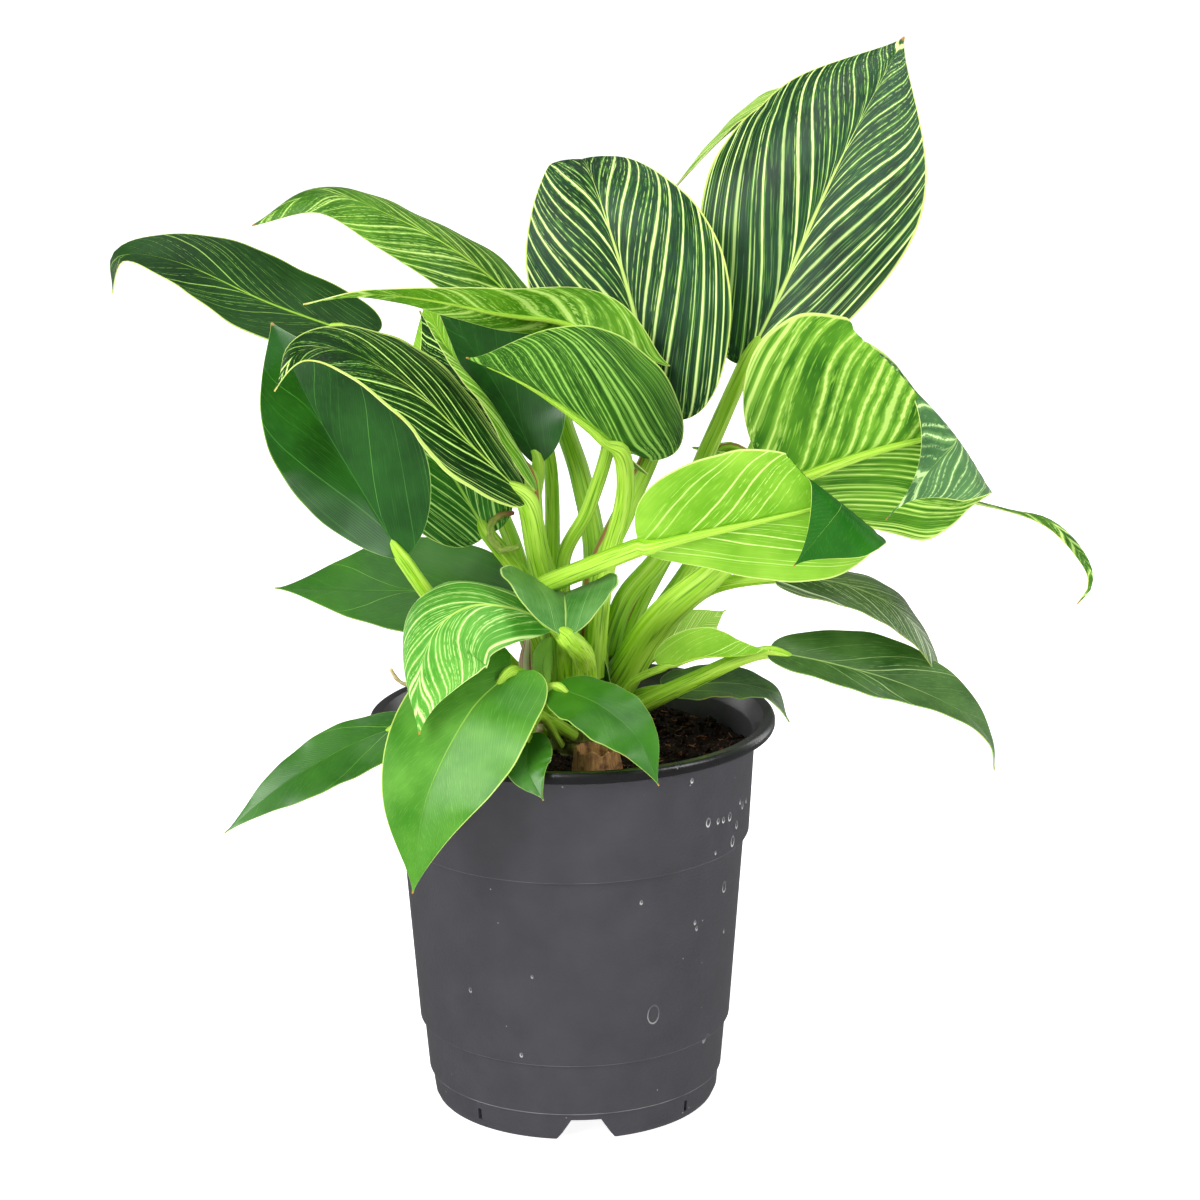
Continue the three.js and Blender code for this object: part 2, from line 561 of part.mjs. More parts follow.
    name: 'leaf_front_tiny', look: plainGreen,
    stalk: [[-4, -8, 137], [-11, -34, 156]],
    stalkRadius: [1.6, 1.4],
    rib: [[-14.5, -64, 157.5], [-15, -76, 149.5], [-9.5, -84, 140.5]],
    face: [[0, -0.7, 0.7], [0, -0.85, 0.5], [0, -0.95, 0.3]],
    half: [9, 9], widest: [0.36, 0.36], full: [0.6, 0.75], lobe: 0.12,
    fold: [[10], [10]], curl: [[0], [0]], roll: 1,
  },
  {
    name: 'leaf_low_left_over_rim', look: plainGreen,
    stalk: [[-7, -3, 140], [-34, -14, 150], [-49, -25, 153]],
    stalkRadius: [2.2, 1.8],
    rib: [[-61.5, -34, 153], [-82, -42, 146.5], [-104, -50, 135], [-123.5, -56, 120]],
    face: [[0, -0.6, 0.8], [0, -0.6, 0.8], [-0.2, -0.7, 0.7], [-0.2, -0.8, 0.6]],
    half: [14, 10], widest: [0.36, 0.36], full: [0.6, 0.75], lobe: 0.12,
    fold: [[5], [5]], curl: [[0], [0]], roll: 1,
  },
];

// Rows and columns of a blade follow its size.
const ROW_STEP = 13;
const LARGE_HALF = 36;
const SMALL_HALF = 16;
const LARGE_ACROSS = [0.125, 0.375, 0.7083, 1];
const MEDIUM_ACROSS = [0.1667, 0.5833, 1];
const SMALL_ACROSS = [0.4167, 1];
const ROLLED_ACROSS = [0.125, 0.25, 0.375, 0.5, 0.625, 0.75, 0.875, 1];
const ROLLED_ROWS = 20;

function rowsOf(leaf, length) {
  if (leaf.over) return ROLLED_ROWS;
  return THREE.MathUtils.clamp(Math.round(length / ROW_STEP), 6, 10);
}

function acrossOf(leaf) {
  const widest = Math.max(...leaf.half);
  if (leaf.over) return ROLLED_ACROSS;
  if (widest >= LARGE_HALF) return LARGE_ACROSS;
  return widest >= SMALL_HALF ? MEDIUM_ACROSS : SMALL_ACROSS;
}

// ---- small pieces at the foot of the plant -------------------------------------------
// Sheath and bud blades use the same description as a leaf, without a stalk.
const SCALES = [
  {
    name: 'sheath_streaked',
    rib: [[-14.5, -17, 158], [-16.5, -24, 171], [-15.5, -26.5, 184.5]],
    face: [[0, -1, 0.1], [0, -1, 0.1], [0, -1, 0.1]],
    half: [3.4, 3.4], widest: [0.45, 0.45], full: [0.4, 0.3], lobe: 0,
    fold: [[-15], [-15]], curl: [[-60], [-60]], roll: 1, stalkRadius: [1, 0.4],
  },
  {
    name: 'bud_cupped',
    rib: [[-9, -33, 167], [-10, -36.5, 176], [-7, -34, 185.5]],
    face: [[0, 0.9, -0.2], [0, 1, 0.1], [0, 1, 0.5]],
    half: [9, 9], widest: [0.5, 0.5], full: [0.4, 0.2], lobe: 0,
    fold: [[15], [15]], curl: [[110], [110]], roll: 1, stalkRadius: [1, 0.6],
  },
  {
    name: 'leaf_spear',
    rib: [[13.5, -3, 157], [11, -5, 168], [8, -6, 180]],
    face: [[-0.4, -1, 0], [-0.4, -1, 0], [-0.4, -1, 0]],
    half: [3, 2.4], widest: [0.3, 0.3], full: [0.6, 0.9], lobe: 0,
    fold: [[25], [25]], curl: [[0], [0]], roll: 1, stalkRadius: [1, 0.6],
  },
];

// Thin roots and the dried sheath that has curled into a loop.
const STRANDS = [
  {
    name: 'aerial_root_left', look: paleRoot, radius: [1.2, 0.7], segments: 7,
    axis: [[-42, -6, 127], [-48, -8, 147], [-57, -11, 159.5], [-63, -13, 163.5], [-66, -14, 169]],
  },
  {
    name: 'dried_sheath_curl', look: bark, radius: [0.9, 1.5, 1.5, 0.8], segments: 10,
    axis: [[-18, -14, 214], [-25, -12, 212.5], [-29, -10, 218], [-26.5, -8, 223.5], [-20, -9, 225.5]],
  },
  {
    name: 'root_stub', look: paleRoot, radius: [2, 1.6], segments: 3,
    axis: [[-14, -12, 126], [-13, -11, 137], [-11.5, -10, 146]],
  },
];

const STUMP = { x: 9, y: -36, radius: 9, hollow: 6.5, top: 145, foot: 126 };

// ---- pot ------------------------------------------------------------------------------
const POT_PROFILE = [
  [0, FLOOR_UNDERSIDE], [51.1, FLOOR_UNDERSIDE], [50.8, 0], [52.2, 0], [53.6, 3], [54.2, 10.3],
  [55.1, 10.9], [56.9, 30.3], [58.2, 31], [63.7, 102.6], [65.4, 103.4], [67.8, 142.4],
  [74.3, 142.8], [POT_RIM_RADIUS, 143.6], [POT_RIM_RADIUS, 146.2], [74.2, POT_HEIGHT],
  [71.2, POT_HEIGHT], [70.2, 146.2], [67.8 - POT_WALL, 140.4], [65.4 - POT_WALL, 104.2],
  [63.7 - POT_WALL, 103.2], [58.2 - POT_WALL, 31.8], [56.9 - POT_WALL, 31],
  [55.1 - POT_WALL, 11.6], [52.6, FLOOR_TOP], [0, FLOOR_TOP],
];

function buildPot() {
  let pot = solidOf(turned(POT_PROFILE, POT_FACETS));
  for (let k = 0; k < FOOT_NOTCHES; k += 1) {
    const angle = THREE.MathUtils.degToRad(NOTCH_ANGLE + (360 / FOOT_NOTCHES) * k);
    const shape = new THREE.Shape([
      new THREE.Vector2(-NOTCH_FOOT_WIDTH / 2, -1),
      new THREE.Vector2(NOTCH_FOOT_WIDTH / 2, -1),
      new THREE.Vector2(NOTCH_TOP_WIDTH / 2, NOTCH_HEIGHT),
      new THREE.Vector2(-NOTCH_TOP_WIDTH / 2, NOTCH_HEIGHT),
    ]);
    const notch = new THREE.ExtrudeGeometry(shape, { depth: 20, bevelEnabled: false })
      .rotateX(Math.PI / 2).translate(0, -40, 0).rotateZ(angle);
    const slit = new THREE.BoxGeometry(SLIT_WIDTH, 12, SLIT_HEIGHT)
      .translate(0, -53, 5.6).rotateZ(angle + Math.PI / FOOT_NOTCHES);
    const drain = new THREE.CylinderGeometry(DRAIN_RADIUS, DRAIN_RADIUS, 6, 12)
      .rotateX(Math.PI / 2).translate(0, -DRAIN_CIRCLE, FLOOR_TOP).rotateZ(angle);
    pot = pot.subtract(solidOf(notch)).subtract(solidOf(slit)).subtract(solidOf(drain));
  }
  return pot;
}

// ---- soil: fills the pot to its level, with a crumbled top --------------------------------
function soilHeight(x, y) {
  const lumps = Math.sin(0.21 * x + 0.8) * Math.cos(0.17 * y - 0.4);
  const grains = Math.sin(0.47 * x - 0.31 * y) * Math.cos(0.39 * y + 0.22 * x + 1.1);
  return SOIL_LEVEL + SOIL_RELIEF * (lumps + 0.8 * grains);
}

function buildSoil() {
  const geometry = turned([
    [0, FLOOR_TOP + GAP], [51.6, FLOOR_TOP + GAP], [53.3, 12], [55.1, 31], [61.8, 103],
    [65.4, SOIL_LEVEL - 1.5], [61, SOIL_LEVEL], [44, SOIL_LEVEL], [24, SOIL_LEVEL],
    [0, SOIL_LEVEL],
  ], POT_FACETS);
  const position = geometry.attributes.position;
  for (let i = 0; i < position.count; i += 1) {
    if (position.getZ(i) === SOIL_LEVEL) {
      position.setZ(i, soilHeight(position.getX(i), position.getY(i)));
    }
  }
  return solidOf(geometry);
}

function buildStump(grow = 0) {
  const { x, y, radius, hollow, top, foot } = STUMP;
  const profile = [
    [0, foot - grow], [radius + grow, foot - grow], [radius + grow - 1, top + grow],
    [hollow - grow, top + grow], [hollow - 1 - grow, SOIL_LEVEL + 2 + grow], [0, SOIL_LEVEL + 2 + grow],
  ];
  return solidOf(turned(profile, 14).translate(x, y, 0));
}

// ---- assembly ----------------------------------------------------------------------------
const pieces = [];
const grown = [];

// The largest body left after a cut; loose scraps are dropped.
function largest(solid) {
  return solid.decompose().sort((a, b) => b.volume() - a.volume())[0];
}

// A piece gives way to every piece already in place, keeping its clearance to it.
function place(name, look, make) {
  const body = make(0);
  const box = body.boundingBox();
  let kept = body;
  for (const other of grown) {
    const near = [0, 1, 2].every((k) => box.min[k] < other.box.max[k] && box.max[k] > other.box.min[k]);
    if (near) kept = kept.subtract(other.solid);
  }
  kept = largest(kept);
  const spread = make(GAP);
  grown.push({ solid: spread, box: spread.boundingBox() });
  pieces.push({ name, look, solid: kept });
}

for (const stem of STEMS) {
  place(stem.name, stemOlive, (grow) => stalk(stem.axis, stem.radius, 5, grow));
}
place('stump_cut', bark, (grow) => buildStump(grow));

for (const leaf of LEAVES) {
  const rib = curveThrough(leaf.rib);
  const rows = rowsOf(leaf, rib.getLength());
  const across = acrossOf(leaf);
  const inset = rib.getPointAt(0.05);
  const path = [...leaf.stalk, leaf.rib[0], inset.toArray()];
  const segments = Math.max(...leaf.half) >= SMALL_HALF ? 7 : 5;
  place(leaf.name, leaf.look, (grow) => stalk(path, leaf.stalkRadius, segments, grow)
    .add(blade(leaf, rows, across, grow)));
}
for (const scale of SCALES) {
  place(scale.name, limeGreen, (grow) => blade(scale, 6, SMALL_ACROSS, grow));
}
for (const strand of STRANDS) {
  place(strand.name, strand.look,
    (grow) => stalk(strand.axis, strand.radius, strand.segments, grow));
}

let soil = buildSoil();
for (const other of grown) {
  if (other.box.min[2] < SOIL_LEVEL + 2) soil = soil.subtract(other.solid);
}
pieces.unshift({ name: 'soil', look: peat, solid: largest(soil) });
pieces.unshift({ name: 'pot', look: plastic, solid: buildPot() });

const bounds = new THREE.Box3();
for (const piece of pieces) {
  const { min, max } = piece.solid.boundingBox();
  bounds.union(new THREE.Box3(vector(min), vector(max)));
}
const middle = bounds.getCenter(new THREE.Vector3());

const plant = new THREE.Group();
for (const piece of pieces) {
  const mesh = new THREE.Mesh(geometryOf(piece.solid), new THREE.MeshStandardMaterial(piece.look));
  mesh.name = piece.name;
  mesh.position.set(-middle.x, -middle.y, 0);
  plant.add(mesh);
}

export default plant;
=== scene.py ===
import math
import random

import bmesh
import bpy
from mathutils import Matrix, Vector, noise


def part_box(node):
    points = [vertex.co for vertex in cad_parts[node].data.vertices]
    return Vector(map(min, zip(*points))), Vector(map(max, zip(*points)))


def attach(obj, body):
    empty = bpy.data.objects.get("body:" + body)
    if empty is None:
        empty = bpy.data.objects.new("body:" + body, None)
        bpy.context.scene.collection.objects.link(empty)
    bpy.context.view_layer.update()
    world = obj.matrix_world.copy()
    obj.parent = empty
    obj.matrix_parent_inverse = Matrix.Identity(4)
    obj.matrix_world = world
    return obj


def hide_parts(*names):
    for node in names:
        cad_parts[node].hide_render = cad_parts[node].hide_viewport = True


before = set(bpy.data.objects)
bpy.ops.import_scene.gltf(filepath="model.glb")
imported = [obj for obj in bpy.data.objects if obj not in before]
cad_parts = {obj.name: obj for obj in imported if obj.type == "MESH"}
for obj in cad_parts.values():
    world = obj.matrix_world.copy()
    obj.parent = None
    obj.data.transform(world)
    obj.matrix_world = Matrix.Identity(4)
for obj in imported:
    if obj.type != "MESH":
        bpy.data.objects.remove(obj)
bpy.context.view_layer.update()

# ---- The nursery pot -------------------------------------------------------------------------
# A thin black polypropylene pot, moulded in one piece: a rolled rim, a wall that steps in
# twice on its way down, a raised floor with drain holes, and a foot with notches and slits.
# Its axis is the line that everything is measured from, in millimetres.
pot_low, pot_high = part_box("pot")
AXIS = Vector(((pot_low.x + pot_high.x) / 2, (pot_low.y + pot_high.y) / 2, 0))


def at(x, y, z):
    """A point given in millimetres from the pot's axis and the table, in metres."""
    return AXIS + Vector((x, y, z)) / 1000


class Value:
    """A number on its way through a material: arithmetic on it adds Math nodes."""

    def __init__(self, socket):
        self.socket = socket

    def math(self, operation, *others, first=None):
        """One Math node on this value and the others; first goes ahead of this value."""
        tree = self.socket.id_data
        node = tree.nodes.new("ShaderNodeMath")
        node.operation = operation
        terms = (first, self, *others) if first is not None else (self, *others)
        for slot, term in zip(node.inputs, terms):
            if isinstance(term, Value):
                tree.links.new(term.socket, slot)
            else:
                slot.default_value = term
        return Value(node.outputs[0])

    def __add__(self, other):
        return self.math("ADD", other)

    __radd__ = __add__

    def __sub__(self, other):
        return self.math("SUBTRACT", other)

    def __rsub__(self, other):
        return self.math("SUBTRACT", first=other)

    def __mul__(self, other):
        return self.math("MULTIPLY", other)

    __rmul__ = __mul__

    def __truediv__(self, other):
        return self.math("DIVIDE", other)

    def __pow__(self, other):
        return self.math("POWER", other)

    def size(self):
        return self.math("ABSOLUTE")

    def held(self):
        """The value kept between 0 and 1."""
        return self.math("MAXIMUM", 0).math("MINIMUM", 1)

    def over(self, low, high):
        """0 below low, 1 above high and a ramp between."""
        return ((self - low) / (high - low)).held()


class Finish:
    """A surface finish: its nodes, and the few steps that mix its colours."""

    def __init__(self, name, roughness=0.5, coat=0.0, specular=0.5):
        self.material = bpy.data.materials.new(name)
        self.material.use_nodes = True
        self.tree = self.material.node_tree
        self.shader = self.tree.nodes["Principled BSDF"]
        self.shader.inputs["Roughness"].default_value = roughness
        self.shader.inputs["Coat Weight"].default_value = coat
        self.shader.inputs["Coat Roughness"].default_value = 0.25
        self.shader.inputs["Specular IOR Level"].default_value = specular

    def node(self, kind, settings, inputs, output=0):
        """Any node of a material: its type, its settings and what its sockets are given."""
        node = self.tree.nodes.new("ShaderNode" + kind)
        for name, setting in settings.items():
            setattr(node, name, setting)
        for name, term in inputs.items():
            if isinstance(term, Value):
                self.tree.links.new(term.socket, node.inputs[name])
            else:
                node.inputs[name].default_value = term
        return Value(node.outputs[output])

    def place(self):
        """Where a point is on the plant, in metres."""
        return self.node("TexCoord", {}, {}, "Object")

    def uv(self, layer):
        """The two numbers of one of the piece's own maps."""
        spot = self.node("UVMap", {"uv_map": layer}, {})
        return [self.node("SeparateXYZ", {}, {"Vector": spot}, axis) for axis in ("X", "Y")]

    def point(self, x, y, z):
        return self.node("CombineXYZ", {}, {"X": x, "Y": y, "Z": z})

    def noise(self, where, scale, detail=3.0, roughness=0.55):
        inputs = {"Vector": where, "Scale": scale, "Detail": detail, "Roughness": roughness}
        return self.node("TexNoise", {}, inputs)

    def chance(self, number):
        """A fixed random value for each whole number."""
        return self.node("TexWhiteNoise", {"noise_dimensions": "1D"}, {"W": number})

    def mix(self, share, one, other):
        return self.node("Mix", {"data_type": "RGBA"}, {0: share, 6: one, 7: other}, 2)

    def wear(self, colour, roughness, height=None, depth=0.0):
        """Joins the finished colour, roughness and relief to the shader; depth is in metres."""
        self.tree.links.new(colour.socket, self.shader.inputs["Base Color"])
        self.tree.links.new(roughness.socket, self.shader.inputs["Roughness"])
        if height is not None:
            inputs = {"Height": height, "Distance": depth, "Strength": 1.0}
            bump = self.node("Bump", {}, inputs)
            self.tree.links.new(bump.socket, self.shader.inputs["Normal"])
        return self


def rgb(red, green, blue):
    """A colour given as it looks on a screen, 0 to 255, in linear light."""
    steps = [step / 255 for step in (red, green, blue)]
    linear = [s / 12.92 if s <= 0.04045 else ((s + 0.055) / 1.055) ** 2.4 for s in steps]
    return (*linear, 1.0)


def settle(mesh_work, name, finishes, node, sharp=40):
    """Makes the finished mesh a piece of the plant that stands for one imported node."""
    bmesh.ops.recalc_face_normals(mesh_work, faces=mesh_work.faces)
    mesh = bpy.data.meshes.new(name)
    mesh_work.to_mesh(mesh)
    mesh_work.free()
    for finish in finishes:
        mesh.materials.append(finish.material)
    mesh.shade_smooth()
    mesh.set_sharp_from_angle(angle=math.radians(sharp))
    piece = bpy.data.objects.new(name, mesh)
    bpy.context.scene.collection.objects.link(piece)
    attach(piece, "root")
    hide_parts(node)
    return piece


def turned(mesh_work, profile, steps):
    """A closed body of revolution about the pot's axis from [radius, height] points."""
    points = [mesh_work.verts.new(at(radius, 0, height)) for radius, height in profile]
    edges = [mesh_work.edges.new(pair) for pair in zip(points, points[1:])]
    bmesh.ops.spin(
        mesh_work, geom=points + edges, cent=AXIS, axis=(0, 0, 1),
        angle=2 * math.pi, steps=steps, use_merge=True,
    )
    bmesh.ops.remove_doubles(mesh_work, verts=mesh_work.verts, dist=1e-6)
    bmesh.ops.recalc_face_normals(mesh_work, faces=mesh_work.faces)


POT_OUTSIDE = [
    (0, 8.8), (50.4, 8.8), (50.9, 8.4), (50.9, 0.4), (51.2, 0), (52.0, 0), (52.4, 0.4),
    (53.6, 3), (54.2, 10.2), (54.5, 10.6), (55.0, 10.8), (55.2, 11.2),
    (56.8, 30.2), (57.0, 30.6), (58.0, 30.9), (58.3, 31.4),
    (63.6, 102.4), (63.9, 102.9), (65.2, 103.2), (65.5, 103.8),
    (67.7, 141.8), (68.0, 142.3), (68.6, 142.6), (73.6, 142.7), (74.6, 143.1), (75, 144),
    (75, 145.7), (74.7, 146.5), (74, 147), (71.6, 147), (70.7, 146.7), (70.2, 146),
]
POT_INSIDE = [
    (67.0, 141.2), (66.6, 140.4), (64.2, 104.2), (62.5, 103.2), (57.0, 31.8), (55.7, 31),
    (53.9, 11.6), (52.6, 10), (0, 10),
]
pot = bmesh.new()
turned(pot, POT_OUTSIDE + POT_INSIDE, 160)

# The notches, slits and drain holes are cut out together, as one set of cutters, in metres.
NOTCH_TOP_WIDTH = 0.0109
NOTCH_FOOT_WIDTH = 0.0227
NOTCH_HIGH = 0.0093       # from a millimetre below the table
NOTCH_MIDDLE = 0.00365
NOTCH_DEEP = 0.02
NOTCH_OUT = 0.05          # its middle from the axis
SLIT_SIZE = (0.0016, 0.012, 0.0042)
SLIT_PLACE = (0, -0.053, 0.0056)
DRAIN_RADIUS = 0.0045
DRAIN_PLACE = (0, -0.038, 0.010)
NOTCH_TURN = 4.5          # degrees round from the front towards the right
cutters = bmesh.new()
for quarter in range(4):
    round_to = Matrix.Rotation(math.radians(NOTCH_TURN + 90 * quarter), 4, "Z")
    turn = Matrix.Translation(AXIS) @ round_to
    half_turn = Matrix.Rotation(math.radians(45), 4, "Z")
    notch = bmesh.ops.create_cube(cutters, size=1)["verts"]
    for corner in notch:
        x, y, z = corner.co
        width = NOTCH_TOP_WIDTH if z > 0 else NOTCH_FOOT_WIDTH
        corner.co = (x * width, y * NOTCH_DEEP - NOTCH_OUT, z * NOTCH_HIGH + NOTCH_MIDDLE)
    bmesh.ops.transform(cutters, matrix=turn, verts=notch)
    slit = bmesh.ops.create_cube(cutters, size=1)["verts"]
    bmesh.ops.scale(cutters, vec=SLIT_SIZE, verts=slit)
    bmesh.ops.translate(cutters, vec=SLIT_PLACE, verts=slit)
    bmesh.ops.transform(cutters, matrix=turn @ half_turn, verts=slit)
    drain = bmesh.ops.create_cone(
        cutters, cap_ends=True, segments=24, radius1=DRAIN_RADIUS, radius2=DRAIN_RADIUS,
        depth=0.006,
    )["verts"]
    bmesh.ops.translate(cutters, vec=DRAIN_PLACE, verts=drain)
    bmesh.ops.transform(cutters, matrix=turn, verts=drain)


def carved(body, tools):
    """The first mesh with the second cut out of it, as a mesh to work on."""
    objects = []
    for part in (body, tools):
        mesh = bpy.data.meshes.new("rough")
        part.to_mesh(mesh)
        part.free()
        objects.append(bpy.data.objects.new("rough", mesh))
        bpy.context.scene.collection.objects.link(objects[-1])
    cut = objects[0].modifiers.new("cut", "BOOLEAN")
    cut.operation = "DIFFERENCE"
    cut.object = objects[1]
    bpy.context.view_layer.update()
    done = bmesh.new()
    done.from_object(objects[0], bpy.context.evaluated_depsgraph_get())
    for part in objects:
        bpy.data.objects.remove(part)
    return done


pot = carved(pot, cutters)

plastic = Finish("pot_plastic", roughness=0.36, specular=0.6)
spot = plastic.place()
height = plastic.node("SeparateXYZ", {}, {"Vector": spot}, "Z")
cloud = plastic.noise(spot, 70, 4)
grain = plastic.noise(spot, 900, 2)
# Dust and dried splashes: fine specks everywhere, and rings where drops have dried, painted
# brighter on their lower left arc, and brighter still in the strongest ones, as a painted glint of
# light on the drops.
cells = {"Vector": spot, "Scale": 420.0}
speck = plastic.node("TexVoronoi", {}, cells, "Distance")
speck_kind = plastic.node("TexVoronoi", {}, cells, "Color")
speck_kind = plastic.node("SeparateColor", {}, {"Color": speck_kind}, "Red")
marks_and_highlights = (0.14 - speck).over(0, 0.05) * speck_kind.over(0.975, 0.985) * 0.4
DRIED_DROPS_AND_GLINTS = [  # degrees round from the front towards the right, height and radius in mm, strength
    (47.5, 119, 1.1, 0.8), (52.5, 118, 0.6, 0.7), (55.5, 117.5, 0.6, 0.8), (59.5, 117.5, 1.0, 0.7),
    (65, 112.5, 0.8, 0.6), (62.5, 107, 1.3, 0.8), (73.5, 102.5, 0.5, 0.5), (69.5, 118.5, 0.8, 0.6),
    (67, 120.5, 0.5, 0.7), (73.5, 119, 0.6, 0.6), (62, 89, 1.2, 0.6), (23, 93.5, 0.5, 0.6),
    (45.5, 80.5, 0.5, 0.6), (39.5, 137, 0.5, 0.8), (29, 48.5, 2.3, 0.35), (57.5, 30, 1.6, 0.3),
    (46.5, 78, 0.5, 0.5), (64.5, 71, 0.4, 0.5), (52, 106, 0.4, 0.6), (-38.5, 56.5, 0.4, 0.4),
    (-19, 34.5, 0.5, 0.6), (-16.5, 12, 0.4, 0.5), (-14, 66, 0.35, 0.4),
]
for turn, up, radius, strength in DRIED_DROPS_AND_GLINTS:
    # How far the wall stands from the axis at this height, above or below its upper step.
    wall = 58.2 + (up - 31) * 0.0765 if up < 103 else 65.4 + (up - 103) * 0.06
    side = math.radians(turn)
    middle = at(wall * math.sin(side), -wall * math.cos(side), up)
    offset = plastic.node("VectorMath", {"operation": "SUBTRACT"}, {0: spot, 1: middle}, "Vector")
    inputs = {0: offset, 1: (1, 1, 0.65)}
    squat = plastic.node("VectorMath", {"operation": "MULTIPLY"}, inputs, "Vector")
    away = plastic.node("VectorMath", {"operation": "LENGTH"}, {0: squat}, "Value")
    # Each ring is painted brighter along its lower left arc: a painted glint of light on the drop.
    inputs = {0: offset, 1: (-0.6, 0, -0.8)}
    below = plastic.node("VectorMath", {"operation": "DOT_PRODUCT"}, inputs, "Value")
    below = below.over(-radius / 1400, radius / 1400) * 0.75 + 0.25
    ring = (away + cloud * 0.0008 - radius / 1000 - 0.0004).size()
    drop_mark_and_glint = (0.0003 - ring).over(0, 0.00022) * below * strength
    marks_and_highlights = marks_and_highlights.math("MAXIMUM", drop_mark_and_glint)
# The edges of the steps in the wall are painted a little paler: a painted highlight where light
# catches each step.
for step in (0.1030, 0.0307, 0.0108):
    step_highlight = (0.0004 - (height - step).size()).over(0, 0.0003) * (cloud.over(0.35, 0.6) + 0.6)
    marks_and_highlights = marks_and_highlights.math("MAXIMUM", step_highlight * 0.2)
shade = plastic.mix(cloud.over(0.3, 0.7), rgb(59, 58, 63), rgb(65, 64, 70))
shade = plastic.mix(height.over(0.141, 0.143), shade, rgb(20, 20, 22))
# Pale specks and dried drop rings, with the painted glints and painted step highlights among them.
shade = plastic.mix(marks_and_highlights, shade, rgb(214, 212, 210))
gloss = 0.32 + cloud * 0.14 + marks_and_highlights * 0.3 - height.over(0.141, 0.143) * 0.1
plastic.wear(shade, gloss, grain + cloud * 2, 0.00008)

settle(pot, "nursery_pot", [plastic], "pot", sharp=35)

# ---- The potting soil ------------------------------------------------------------------------
# Damp black-brown peat that fills the pot to 14 mm below the rim, with a crumbled top,
# loose crumbs of peat and bark on it, and short orange-brown fibres of coir.
SOIL_LEVEL = 133
chances = random.Random(7)


def soil_height(x, y):
    """The crumbled top of the soil, in millimetres above the table."""
    lumps = math.sin(0.21 * x + 0.8) * math.cos(0.17 * y - 0.4)
    grains = math.sin(0.47 * x - 0.31 * y) * math.cos(0.39 * y + 0.22 * x + 1.1)
    crumble = noise.fractal(Vector((x, y, 3)) * 0.35, 0.8, 2.2, 3)
    return SOIL_LEVEL + 0.9 * (lumps + 0.8 * grains) + 0.9 * crumble


def spline(points, share):
    """A point of the smooth curve through the points, at a share of their spans."""
    spans = len(points) - 1
    span = min(int(share * spans), spans - 1)
    part = share * spans - span
    here, there = points[span], points[span + 1]
    before = points[span - 1] if span else 2 * here - there
    after = points[span + 2] if span + 2 <= spans else 2 * there - here
    return 0.5 * (
        2 * here + (there - before) * part
        + (2 * before - 5 * here + 4 * there - after) * part ** 2
        + (3 * here - before - 3 * there + after) * part ** 3
    )


def even_shares(points, steps, spacing=1.0):
    """The shares that cut the curve into lengths: equal ones, or closer towards its start."""
    fine = 30 * (len(points) - 1)
    reached = [0]
    last = spline(points, 0)
    for k in range(fine):
        here = spline(points, (k + 1) / fine)
        reached.append(reached[-1] + (here - last).length)
        last = here
    shares = []
    k = 0
    for step in range(steps + 1):
        wanted = reached[-1] * (step / steps) ** spacing
        while k < fine - 1 and reached[k + 1] < wanted:
            k += 1
        part = (wanted - reached[k]) / (reached[k + 1] - reached[k])
        shares.append((k + part) / fine)
    return shares


def along(values, share):
    """A value from a list spread evenly over the length."""
    if len(values) == 1:
        return values[0]
    place = share * (len(values) - 1)
    first = min(int(place), len(values) - 2)
    return values[first] + (values[first + 1] - values[first]) * (place - first)


def curve_length(points):
    """The length of the smooth curve through the points."""
    stops = [spline(points, k / 60) for k in range(61)]
    return sum((there - here).length for here, there in zip(stops, stops[1:]))


def maps(mesh_work):
    """The piece's two maps: where its side veins start, and where it is along and across."""
    layers = mesh_work.loops.layers.uv
    return [layers.get(name) or layers.new(name) for name in ("vein", "blade")]


def tube(mesh_work, points, radii, sides, steps, material=0, seed=0, section=None, facing=None):
    """A closed rod along a curve: a flat grid rolled up round it and drawn shut at its ends."""
    vein, blade = maps(mesh_work)
    grid = bmesh.ops.create_grid(mesh_work, x_segments=sides, y_segments=steps, size=1)["verts"]
    shares = even_shares(points, steps)
    centres = [spline(points, share) for share in shares]
    up = facing or Vector((0.31, 0.2, 0.93))
    ways = []
    for row in range(steps, -1, -1):
        ahead = centres[min(row + 1, steps)] - centres[max(row - 1, 0)]
        ahead.normalize()
        up = (up - ahead * up.dot(ahead)).normalized()
        ways.insert(0, (ahead.cross(up), up))
    for face in {face for vert in grid for face in vert.link_faces}:
        face.material_index = material
        for corner in face.loops:
            flat = corner.vert.co
            spot = (flat.x * 0.5 + 0.5, flat.y * 0.5 + 0.5)
            corner[blade].uv = spot
            corner[vein].uv = (spot[0] + 3 * seed, spot[1])
    for vert in grid:
        turn = (vert.co.x + 1) * math.pi
        row = round((vert.co.y + 1) / 2 * steps)
        side, up = ways[row]
        radius = along(radii, row / steps) * (section(turn, row / steps) if section else 1)
        if row in (0, steps):
            radius = 0
        offset = side * math.sin(turn) + up * math.cos(turn)
        vert.co = at(*(centres[row] + offset * radius))
    bmesh.ops.remove_doubles(mesh_work, verts=grid, dist=1e-7)


soil = bmesh.new()
turned(soil, [
    (0, 10.35), (51.6, 10.35), (53.2, 12), (55.0, 31), (61.8, 103), (65.9, 131),
    *[(radius, SOIL_LEVEL) for radius in range(65, 0, -3)], (0, SOIL_LEVEL),
], 120)
for vert in soil.verts:
    if vert.co.z > (SOIL_LEVEL - 0.5) / 1000:
        spot = (vert.co - AXIS) * 1000
        vert.co.z = soil_height(spot.x, spot.y) / 1000


def strewn(reach):
    """A chance place on the soil, within a radius of the pot's axis."""
    radius = reach * math.sqrt(chances.random())
    turn = chances.uniform(0, 2 * math.pi)
    return radius * math.cos(turn), radius * math.sin(turn)


